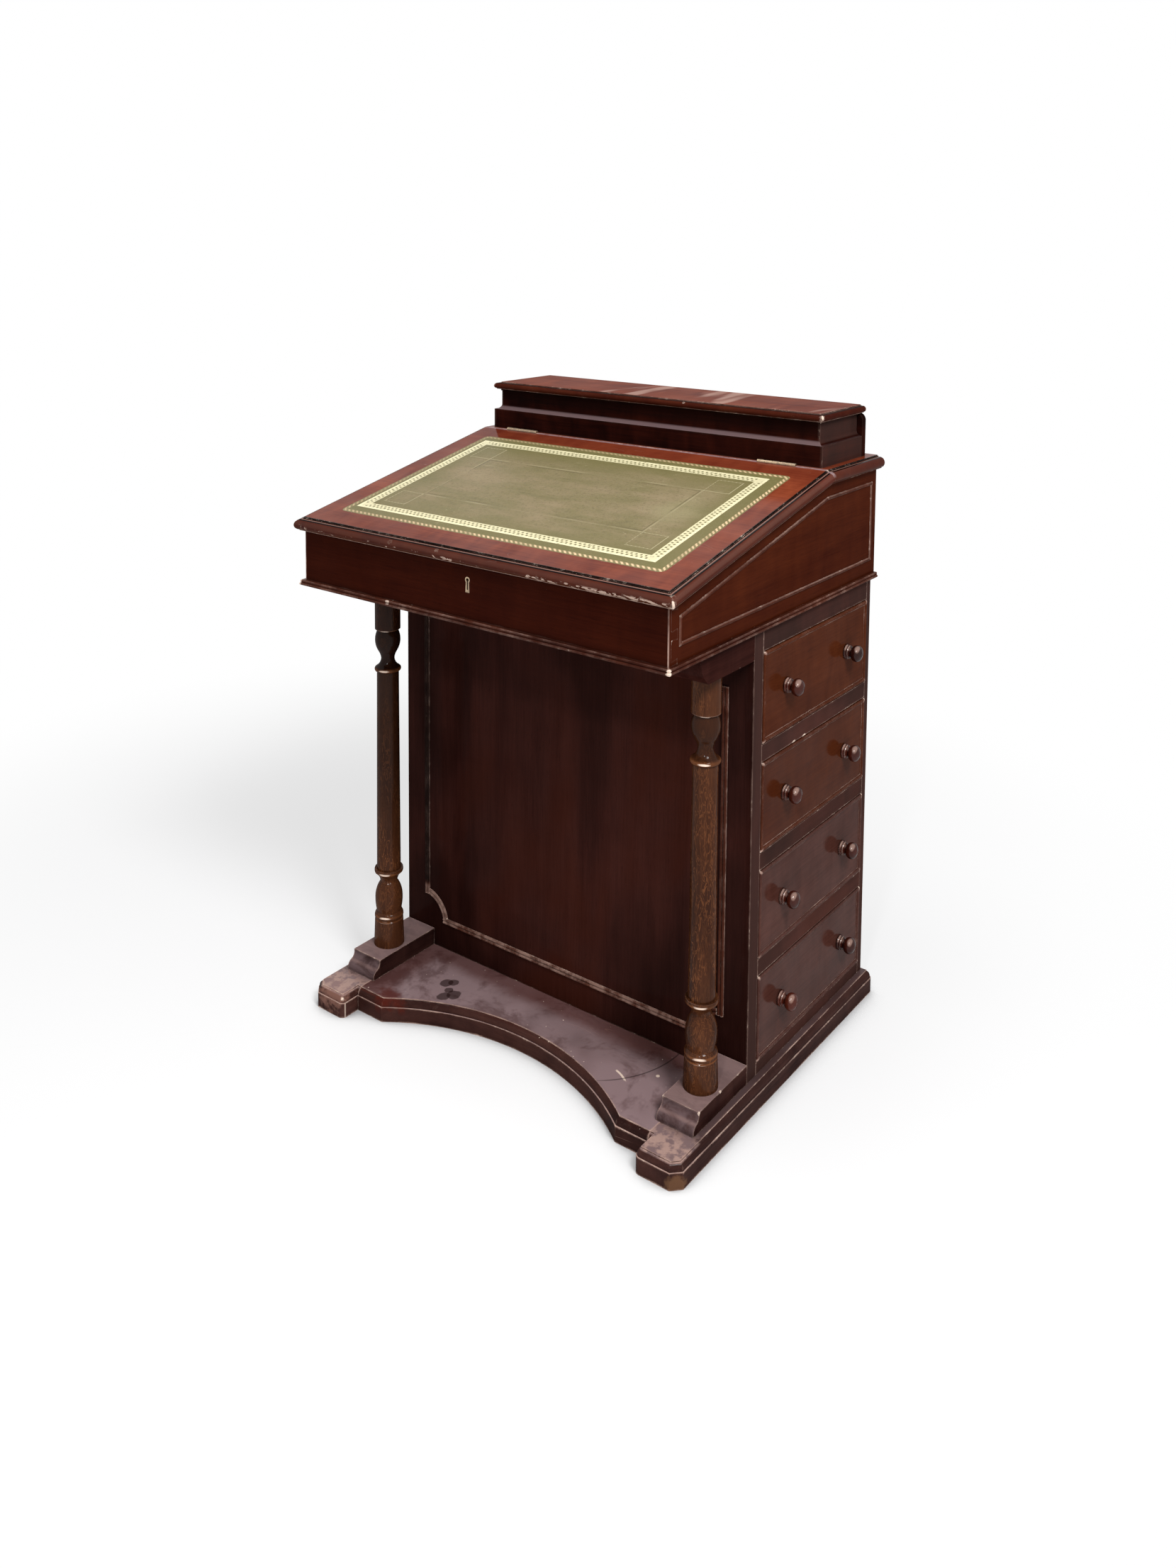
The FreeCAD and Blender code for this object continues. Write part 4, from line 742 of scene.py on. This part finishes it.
def writing_leather(name):
    """Olive leather with a rope edge, a gilt chain band and blind-tooled lines."""
    plan = bpy.context.scene.desk_leather
    hide = Finish(bpy.data.materials.new(name))
    hide.place = on_slope(hide)
    across, up, _ = hide.split(hide.place)
    offset_across = across + plan.band_offset

    clouds = hide.noise((9, 14, 9), 3, 0.6)
    streaks = hide.noise((14, 60, 14), 3, 0.65, 0.4, 5)
    grain = hide.noise(900, 2, 0.6, seed=2)
    pebble = hide.add(
        "ShaderNodeTexVoronoi", {"feature": "DISTANCE_TO_EDGE"},
        {"Vector": hide.place, "Scale": 620.0})
    pebble = Value(hide, pebble.outputs["Distance"])

    rim, _, _ = rectangle(across, up, plan.half_width, plan.front, plan.rear)
    band, band_side, band_end = rectangle(
        offset_across, up, plan.band_half_width, plan.band_front, plan.band_rear)
    edge_green = hide.ease(band, -0.05, 0.0)
    hide.tone = hide.ramp(
        clouds * 0.6 + streaks * 0.4,
        (0.25, plan.shadow), (0.42, mixed(plan.olive, plan.brown, 0.4)),
        (0.58, plan.brown), (0.8, mixed(plan.brown, plan.gilt, 0.12)))
    speckle = hide.noise(260, 3, 0.7, seed=14)
    hide.lay(hide.ease(speckle, 0.5, 0.66) * 0.4, plan.shadow)
    hide.lay(edge_green * 0.75, plan.olive)
    far = hide.ease(up, 0.2, 0.27)
    hide.lay(far * hide.ease(clouds, 0.35, 0.6) * 0.6, plan.olive)

    patch = hide.ease(abs(across - 0.164) + abs(up - 0.172) * 0.8, 0.055, 0.012)
    hide.lay(patch * hide.ease(clouds, 0.3, 0.6) * 0.5, mixed(plan.olive, plan.gilt, 0.16))

    # the rope along the edge: slanted dashes
    dash_pitch, link_pitch, dot_pitch = 0.0068, 0.0062, 0.0052
    dashes = hide.ease(wave(across + up, dash_pitch), -0.25, 0.35)
    rope_fade = hide.noise(26, 2, 0.5, seed=8)
    rope_lane = hide.between(rim, -0.0068, -0.0012, 0.0008)
    rope = (
        rope_lane * dashes
        * hide.ease(across - up * 1.2, -0.42, 0.0, 0.3, 1.0)
        * hide.ease(rope_fade, 0.3, 0.55, 0.5, 1.0))

    # the gilt band: a plain stripe outside, a chain of dots inside
    width = plan.band_width
    inside = hide.ease(band, -width - 0.0004, -width + 0.0004) * hide.ease(band, 0.0003, -0.0003)
    along = hide.ease(band_side - band_end, -0.0001, 0.0001)
    run = up * along + offset_across * (1 - along)
    outer_lane = hide.line(band + width * 0.4, 0.0020, 0.0011)
    inner_lane = hide.line(band + width * 0.74, 0.0019, 0.0010)
    dots = (
        outer_lane * hide.ease(wave(run, link_pitch), 0.0, 0.5)
        + inner_lane * hide.ease(wave(run, link_pitch, math.pi), 0.0, 0.5))
    mitre = hide.ease(abs(band_side - band_end), 0.004, 0.008)
    leaf_wear = hide.noise(300, 2, 0.7, seed=12)
    chain = hide.ease(band, -width * 0.3, -width * 0.24, 0.82, 1.0)
    gilt = inside * (1 - dots * mitre * 0.95) * chain * hide.ease(leaf_wear, 0.3, 0.42, 0.4, 1.0)

    # blind lines: a panel, and a dotted square outside each corner
    panel, panel_side, panel_end = rectangle(
        offset_across, up, plan.panel_half_width, plan.panel_front, plan.panel_rear)
    square = plan.corner_square
    fade = hide.noise(13, 2, 0.6, seed=21)
    line = pressed(hide, panel, 0.0019) * hide.ease(fade, 0.45, 0.62, 0.15, 0.85)
    in_square = hide.ease(panel_side, -0.001, 0.0005) * hide.ease(panel_end, -0.001, 0.0005)
    dot_run = wave(across, dot_pitch).math("MAXIMUM", wave(up, dot_pitch))
    edges = (
        pressed(hide, panel_side, 0.0011) + pressed(hide, panel_end, 0.0011)
        + pressed(hide, panel_side - square, 0.0011) + pressed(hide, panel_end - square, 0.0011))
    reach = hide.ease(panel_side.math("MAXIMUM", panel_end), square + 0.0012, square + 0.0002)
    squares = edges * in_square * reach * hide.ease(dot_run, 0.1, 0.6, 0.35, 1.0)
    tooled = (line * 0.3 + squares * 0.7).math("MINIMUM", 0.7)
    shade_line = pressed(hide, panel + 0.003, 0.0016) * hide.ease(fade, 0.45, 0.62)
    hide.lay(shade_line * 0.55, plan.shadow)
    hide.lay(tooled, mixed(plan.brown, plan.gilt, 0.4))

    scuff_field = hide.noise((30, 90, 40), 2, 0.5, 1.0, 31)
    scuffs = hide.line(scuff_field - 0.5, 0.006, 0.002) * hide.ease(fade, 0.55, 0.63)
    hide.lay(scuffs * 0.35, mixed(plan.brown, plan.gilt, 0.3))

    hide.lay(rope_lane * 0.3, mixed(plan.olive, plan.rope, 0.4))
    hide.lay(rope * 0.9, plan.rope)
    hide.lay(gilt, plan.gilt)
    height = (
        hide.ease(pebble, 0.0, 0.25) * 0.5 + grain * 0.4
        - (line + squares + shade_line) * 1.4 - inside * 0.6 - dots * 0.3 - rope * 0.5)
    return hide.surface(
        Base_Color=hide.tone, Roughness=0.46 + (streaks - 0.5) * 0.2 - gilt * 0.12,
        Specular_IOR_Level=0.18, Metallic=gilt * 0.15, Normal=hide.bump(height, 0.00018))


# -------- helpers for the operators
def dress(material, *names):
    """Gives CAD nodes a finish."""
    for name in names:
        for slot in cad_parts[name].material_slots:
            slot.material = material


def polish(name, nodes, *cut, **habits):
    """Gives CAD nodes a polished wood; the rest is how it was cut and used."""
    dress(mahogany(name + "_polish", Cut(*cut, **habits)), *nodes)


def deselect():
    """Nothing is left selected or being edited."""
    if bpy.context.object and bpy.context.object.mode != "OBJECT":
        bpy.ops.object.mode_set(mode="OBJECT")
    bpy.ops.object.select_all(action="DESELECT")


def settle(piece, name, material, body):
    """Puts a finished piece's place into its mesh and gives it its name, finish and body."""
    piece.name = piece.data.name = name
    piece.data.transform(piece.matrix_world)
    piece.matrix_world = Matrix.Identity(4)
    piece.data.materials.clear()
    piece.data.materials.append(material)
    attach(piece, body)
    return piece


class ScrewRow(NamedTuple):
    """Three screws in each of two hinge leaves."""

    name: str
    body: str
    normal: Vector            # the way the heads face
    centre: tuple             # half way between the two leaves, on their faces
    apart: float = 0.199      # from there to the middle of a leaf, in metres
    pitch: float = 0.018      # from screw to screw
    proud: float = 1.0        # share of the screws' full height above the leaf


class PieceOperator:
    """What all of the desk's operators share."""

    bl_options = {"REGISTER", "UNDO"}

    def execute(self, context):
        self.make(context.scene)
        return {"FINISHED"}


class DESK_OT_plinth(PieceOperator, bpy.types.Operator):
    """Finish the feet, the hollowed platform, the column blocks and the turned columns"""

    bl_idname = "desk.plinth"
    bl_label = "Plinth and columns"

    def make(self, scene):
        polish("plinth_feet", ("plinth_foot_left", "plinth_foot_right"),
               "plinth", "Y", 1.3, reach=0.003, wear=1.0, chips=0.6, dust=0.2, coat=0.4,
               roughness=0.34, marks=foot_marks)
        polish("platform", ("plinth_platform",),
               "plinth", "X", 4.1, reach=0.003, wear=1.0, chips=0.55, dust=0.85, scratches=0.4,
               coat=0.25, roughness=0.28, marks=platform_marks)
        knocks = ((0.2635, -0.160, 0.0495, 0.0035), (0.2625, -0.115, 0.05, 0.002))
        polish("column_block", ("column_block_left", "column_block_right"),
               "plinth", "Y", 7.7, wear=0.5, chips=0.4, dust=0.5, roughness=0.4,
               bare=knocks, marks=block_marks)
        polish("column", ("column_left", "column_right"),
               "column", "Z", 2.2, stripe=0.8, mottle=0.1, reach=0.0016, wear=0.3, chips=0.0,
               coat=0.22, upright=1.0, marks=column_marks)


class DESK_OT_pedestal(PieceOperator, bpy.types.Operator):
    """Finish the kneehole board, its beading, the left side, the back and the bearers"""

    bl_idname = "desk.pedestal"
    bl_label = "Pedestal"

    def make(self, scene):
        polish("pedestal", ("kneehole_panel", "side_panel_left", "back_panel"),
               "case", "Z", 5.9, stripe=0.35, mottle=0.05, wear=0.25, chips=0.2,
               marks=pedestal_marks)
        polish("bead", ("kneehole_beading", "false_drawer_beads"),
               "bead", "XYZ", 3.4, stripe=0.5, reach=0.0018, wear=0.6, chips=0.45, coat=0.3,
               roughness=0.24, marks=beading_marks)
        polish("bearer", ("bearer_left", "bearer_right"),
               "case", "Y", 8.3, wear=0.0, chips=0.0, roughness=0.4)
        knocks = ((0.2635, 0.035, 0.3915, 0.004), (0.2635, 0.06, 0.3915, 0.004))
        polish("rail", ("drawer_rails",),
               "case", "Y", 9.7, stripe=0.5, wear=0.4, chips=0.35, roughness=0.36, coat=0.05,
               bare=knocks, marks=pedestal_marks)


class DESK_OT_drawers(PieceOperator, bpy.types.Operator):
    """Finish the drawer fronts, linings, runners and stops, and the knobs on both sides"""

    bl_idname = "desk.drawers"
    bl_label = "Drawers"

    def make(self, scene):
        fronts = (("upper", 0.3), ("upper", 0.55), ("lower", 0.72), ("lower", 0.85))
        for number, (tones, wax) in enumerate(fronts, 1):
            polish(f"drawer_{number}", (f"drawer_{number}_front",),
                   tones, "Y", 2.9 * number, stripe=0.22, mottle=0.2, reach=0.0022, wear=0.7,
                   chips=0.3, coat=wax, roughness=0.24)
        lining = Cut(
            "lining", "X", 1.1, stripe=0.9, mottle=0.1, wear=0.3, chips=0.1, gloss=0.2,
            coat=0.0, roughness=0.58)
        cases, knobs = (
            [f"drawer_{number}_{part}" for number in (1, 2, 3, 4)] for part in ("case", "knobs"))
        dress(mahogany("drawer_lining_wood", lining), "drawer_runners", "drawer_stops", *cases)
        dress(mahogany("box_bottom_wood", lining._replace(marks=bottom_marks)), "box_bottom")
        polish("knob", ("false_drawer_knobs", *knobs),
               "knob", "X", 5.1, stripe=0.6, mottle=0.3, reach=0.002, wear=0.9, chips=0.0,
               coat=0.5, upright=1.0, roughness=0.26, marks=knob_marks)


class DESK_OT_box(PieceOperator, bpy.types.Operator):
    """Finish the sloping box, its mouldings and side beads"""

    bl_idname = "desk.box"
    bl_label = "Box"

    def make(self, scene):
        polish("box_front", ("box_front", "box_back"),
               "box", "X", 2.4, stripe=0.3, mottle=0.12, wear=0.1, chips=0.0, marks=box_marks)
        polish("box_side", ("box_side_left", "box_side_right"),
               "side", "Y", 6.2, stripe=0.3, mottle=0.15, wear=0.0, chips=0.0, marks=box_marks)
        polish("side_bead", ("side_beads",),
               "bead", "XYZ", 1.9, stripe=0.4, reach=0.0018, wear=0.38, chips=0.1, coat=0.3,
               roughness=0.26)
        knocks = ((0.2700, -0.2360, 0.5485, 0.0038), (-0.12, -0.2362, 0.551, 0.003))
        polish("base_moulding", ("base_moulding",),
               "bead", "XY", 8.8, stripe=0.5, reach=0.0022, wear=0.65, chips=0.62, coat=0.3,
               bare=knocks)


class DESK_OT_slope(PieceOperator, bpy.types.Operator):
    """Finish the writing slope's board, the fixed board behind it, and the leather"""

    bl_idname = "desk.slope"
    bl_label = "Slope"

    def make(self, scene):
        knocks = (
            (0.2745, -0.2370, 0.6170, 0.005), (0.2700, -0.2345, 0.6280, 0.004),
            (0.240, -0.2392, 0.6165, 0.004), (0.228, -0.2392, 0.6155, 0.004),
            (0.216, -0.2392, 0.6145, 0.0045), (0.190, -0.2385, 0.6145, 0.004),
            (-0.040, -0.2385, 0.624, 0.003), (-0.112, -0.2385, 0.6225, 0.0035),
            (-0.264, -0.236, 0.619, 0.004), (0.105, -0.2388, 0.6165, 0.003),
            (0.2540, 0.045, 0.6893, 0.0026), (0.02, 0.088, 0.6987, 0.0022),
        )
        polish("slope", ("slope_board", "top_board"),
               "slope", "X", 3.7, stripe=0.25, wear=0.15, chips=0.45, scratches=0.15, coat=0.5,
               roughness=0.32, bare=knocks, marks=slope_marks)
        dress(writing_leather("tooled_leather"), "slope_leather")


class DESK_OT_gallery(PieceOperator, bpy.types.Operator):
    """Finish the stationery box and its lid"""

    bl_idname = "desk.gallery"
    bl_label = "Gallery"

    def make(self, scene):
        knocks = ((0.2536, 0.106, 0.7600, 0.004), (0.06, 0.1045, 0.7625, 0.0025))
        polish("gallery_lid", ("gallery_lid",),
               "slope", "X", 7.3, stripe=0.5, mottle=0.3, wear=0.6, chips=0.4, coat=0.12,
               bare=knocks, marks=lid_marks)
        old = dict(stripe=0.4, mottle=0.3, wear=0.05, chips=-0.5, dust=0.1)
        polish("gallery_front", ("gallery_front", "gallery_back"),
               "gallery", "X", 4.6, coat=0.05, marks=gallery_marks, **old)
        polish("gallery_end", ("gallery_end_left", "gallery_end_right"),
               "gallery", "Y", 9.2, marks=pedestal_marks, **old)


class DESK_OT_brasswork(PieceOperator, bpy.types.Operator):
    """Finish the lock, the strike plate, the escutcheon and the hinges"""

    bl_idname = "desk.brasswork"
    bl_label = "Brasswork"

    def make(self, scene):
        dress(brass("old_brass"), "lock_case", "keyhole_escutcheon", "slope_hinge_leaves",
              "strike_plate", "box_hinge_leaves", "hinge_pins", "gallery_lid_hinge_leaves",
              "gallery_back_hinge_leaves")
        dress(steel("filed_steel"), "lock_bolt")


class DESK_OT_screws(PieceOperator, bpy.types.Operator):
    """Model one slotted screw head and set copies of it in the hinges and lock plates"""

    bl_idname = "desk.screws"
    bl_label = "Screws"
    INSET = 0.00008           # rise of a head's middle over its rim, in metres

    def make(self, scene):
        self.pattern = self.screw_head(scene.desk_metals)
        self.material = brass("screw_brass")
        ahead = Vector((0, math.cos(SLOPE), math.sin(SLOPE)))
        below = Vector((0, math.sin(SLOPE), -math.cos(SLOPE)))
        rows = (
            ScrewRow("slope_hinge_screw", "slope", ahead, (0, 0.10001, 0.69355)),
            ScrewRow("box_hinge_screw", "desk", -ahead, (0, 0.10059, 0.69371)),
            ScrewRow("lid_hinge_screw", "gallery_lid", -UP, (0, 0.21646, 0.75473),
                     apart=0.170, pitch=0.013, proud=0.4),
            ScrewRow("gallery_hinge_screw", "desk", UP, (0, 0.21649, 0.75453),
                     apart=0.170, pitch=0.013, proud=0.4),
        )
        for row in rows:
            count = 0
            for side in (-1, 1):
                for step in (-1, 0, 1):
                    count += 1
                    place = Vector(row.centre) + Vector((side * row.apart + step * row.pitch, 0, 0))
                    self.drive(f"{row.name}_{count}", row.body, place, row.normal, 35 * count,
                               row.proud)
        lock_face, strike_face = -0.21425, (-0.21945, 0.61515)
        for count, x in enumerate((-0.0205, 0.0205), 1):
            for row, z in enumerate((0.5865, 0.6075)):
                self.drive(f"lock_screw_{2 * count + row - 1}", "desk", Vector((x, lock_face, z)),
                           Vector((0, 1, 0)), 50 * count + 20 * row)
        for count, x in enumerate((-0.0105, 0.0105), 1):
            self.drive(f"strike_screw_{count}", "slope", Vector((x, *strike_face)), below,
                       40 * count)
        bpy.data.objects.remove(self.pattern)

    def screw_head(self, metals):
        """A slightly domed disc with a slot pressed into it, its face at nought height."""
        deselect()
        depth = 0.001
        bpy.ops.mesh.primitive_cylinder_add(
            vertices=28, radius=metals.screw_radius, depth=depth, location=(0, 0, -depth / 2))
        head = bpy.context.object
        bpy.ops.object.transform_apply(location=True, rotation=True, scale=True)
        bpy.ops.object.mode_set(mode="EDIT")
        self.pick(head, lambda face: face.normal.z > 0.9)
        bpy.ops.mesh.inset(thickness=metals.screw_radius * 0.16, depth=self.INSET)
        half_slot = metals.screw_slot / 2
        for side in (-1, 1):
            bpy.ops.mesh.select_all(action="SELECT")
            bpy.ops.mesh.bisect(plane_co=(side * half_slot, 0, 0), plane_no=(1, 0, 0))
        self.pick(head, lambda face: face.normal.z > 0.5 and abs(face.center.x) < half_slot)
        bpy.ops.mesh.extrude_region_move(TRANSFORM_OT_translate={"value": (0, 0, -0.00045)})
        bpy.ops.mesh.select_all(action="SELECT")
        bpy.ops.mesh.remove_doubles(threshold=1e-6)
        bpy.ops.mesh.normals_make_consistent(inside=False)
        bpy.ops.object.mode_set(mode="OBJECT")
        return head

    def pick(self, piece, wanted):
        """Selects the faces that pass a test, in edit mode."""
        bpy.ops.mesh.select_all(action="DESELECT")
        bpy.ops.object.mode_set(mode="OBJECT")
        for face in piece.data.polygons:
            face.select = wanted(face)
        bpy.ops.object.mode_set(mode="EDIT")

    def drive(self, name, body, place, normal, turn, proud=1.0):
        """Sets a copy of the head on a face, a little proud of it."""
        head = self.pattern.copy()
        head.data = self.pattern.data.copy()
        bpy.context.scene.collection.objects.link(head)
        full = bpy.context.scene.desk_metals.screw_proud
        raised = place + normal * (full * proud - self.INSET)
        head.matrix_world = (
            Matrix.Translation(raised)
            @ normal.to_track_quat("Z", "X").to_matrix().to_4x4()
            @ Matrix.Rotation(math.radians(turn), 4, "Z"))
        bpy.context.view_layer.update()
        settle(head, name, self.material, body)


class DESK_OT_stage(PieceOperator, bpy.types.Operator):
    """Lay the floor, set the lamps and the room light, and stand the camera"""

    bl_idname = "desk.stage"
    bl_label = "Stage"

    def make(self, scene):
        stage = scene.desk_stage
        self.floor(stage)
        self.room(stage, scene)
        self.lamp("key_lamp", stage.key_power, (1.7, -0.9, 2.3), target=(0.1, 0, 0.4), size=0.7)
        self.lamp("top_lamp", stage.top_power, (-0.3, -0.5, 2.7), target=(0, 0, 0.5), size=0.9)
        self.lamp("front_lamp", stage.front_power, (0.9, -1.9, 1.9), target=(0, 0, 0.4), size=0.16)
        self.camera(stage, scene)
        scene.view_settings.view_transform = "Standard"

    def floor(self, stage):
        deselect()
        bpy.ops.mesh.primitive_plane_add(size=60)
        floor = bpy.context.object
        floor.name = "studio_floor"
        paint = Finish(bpy.data.materials.new("studio_floor_paint"))
        paint.place = paint.coordinates()
        cloud = paint.noise(1.5, 2)
        clean = mixed(stage.floor, WHITE, 0.5)
        paint.tone = paint.blend(paint.ease(cloud, 0.3, 0.7), stage.floor, clean)
        # painted contact shadow: the floor darker, and less of the white shown, within 5 cm of the
        # desk
        contact_shadow = paint.ease(paint.inner(0.05, False), 0.85, 0.4)
        paint.lay(contact_shadow * 0.7, (0.1, 0.1, 0.11))
        lit = paint.add("ShaderNodeBsdfDiffuse", None, {"Color": paint.tone})
        white = paint.add("ShaderNodeEmission", None, {"Color": opaque(WHITE), "Strength": 1.0})
        apart = paint.away((-0.3, 0.1, 0))
        unlit = self.seen(paint) * paint.ease(apart, 0.35, 1.2, 0.5, 1.0) * (1 - contact_shadow)
        floor.data.materials.append(paint.end_mixed(unlit, lit, white))

    def seen(self, paint):
        """1 for rays that show the room: the camera's, and those in gloss and glass."""
        path = paint.add("ShaderNodeLightPath")
        camera, gloss, glass = (
            Value(paint, path.outputs[name])
            for name in ("Is Camera Ray", "Is Glossy Ray", "Is Transmission Ray"))
        return (camera + gloss + glass).math("MINIMUM", 1.0)

    def room(self, stage, scene):
        world = bpy.data.worlds.new("studio_room")
        scene.world = world
        air = Finish(world)
        dim, white = (
            air.add("ShaderNodeBackground", None, {"Color": opaque(WHITE), "Strength": strength})
            for strength in (stage.sky_level, 1.0))
        air.end_mixed(self.seen(air), dim, white)

    def lamp(self, name, power, place, target, size):
        deselect()
        bpy.ops.object.light_add(type="AREA", location=place)
        lamp = bpy.context.object
        lamp.name = name
        lamp.data.energy, lamp.data.size = power, size
        lamp.rotation_euler = (Vector(place) - Vector(target)).to_track_quat("Z", "Y").to_euler()

    def camera(self, stage, scene):
        deselect()
        bpy.ops.object.camera_add(location=stage.eye)
        camera = bpy.context.object
        camera.name = "studio_camera"
        turn, tilt = stage.azimuth, stage.elevation
        level = Vector((math.sin(turn), -math.cos(turn), 0))
        back = level * math.cos(tilt) + UP * math.sin(tilt)
        right = Vector((math.cos(turn), math.sin(turn), 0))
        axes = Matrix((right, back.cross(right), back)).transposed().to_4x4()
        camera.matrix_world = (
            Matrix.Translation(stage.eye) @ axes @ Matrix.Rotation(stage.roll, 4, "Z"))
        camera.data.sensor_width = 36
        camera.data.lens = stage.lens
        camera.data.shift_x, camera.data.shift_y = FRAMING
        scene.camera = camera


PIECES = (
    DESK_OT_plinth, DESK_OT_pedestal, DESK_OT_drawers, DESK_OT_box, DESK_OT_slope,
    DESK_OT_gallery, DESK_OT_brasswork, DESK_OT_screws, DESK_OT_stage)
SETTINGS = {
    "desk_woods": WoodColours, "desk_leather": LeatherSettings, "desk_metals": MetalSettings,
    "desk_stage": StageSettings,
}


class DESK_PT_panel(bpy.types.Panel):
    """Lists the desk's operators and settings"""

    bl_label = "Davenport Desk"
    bl_space_type = "VIEW_3D"
    bl_region_type = "UI"
    bl_category = "Desk"

    def draw(self, context):
        for piece in PIECES:
            self.layout.operator(piece.bl_idname)
        for name, group in SETTINGS.items():
            box = self.layout.box()
            for field in group.__annotations__:
                box.prop(getattr(context.scene, name), field)


def register():
    for group in (*SETTINGS.values(), *PIECES, DESK_PT_panel):
        bpy.utils.register_class(group)
    for name, group in SETTINGS.items():
        setattr(bpy.types.Scene, name, PointerProperty(type=group))


def unregister():
    for name in SETTINGS:
        delattr(bpy.types.Scene, name)
    for group in reversed((*SETTINGS.values(), *PIECES, DESK_PT_panel)):
        bpy.utils.unregister_class(group)


def main():
    """Makes the whole desk."""
    register()
    for piece in PIECES:
        group, name = piece.bl_idname.split(".")
        getattr(getattr(bpy.ops, group), name)()


if __name__ == "__main__":
    main()
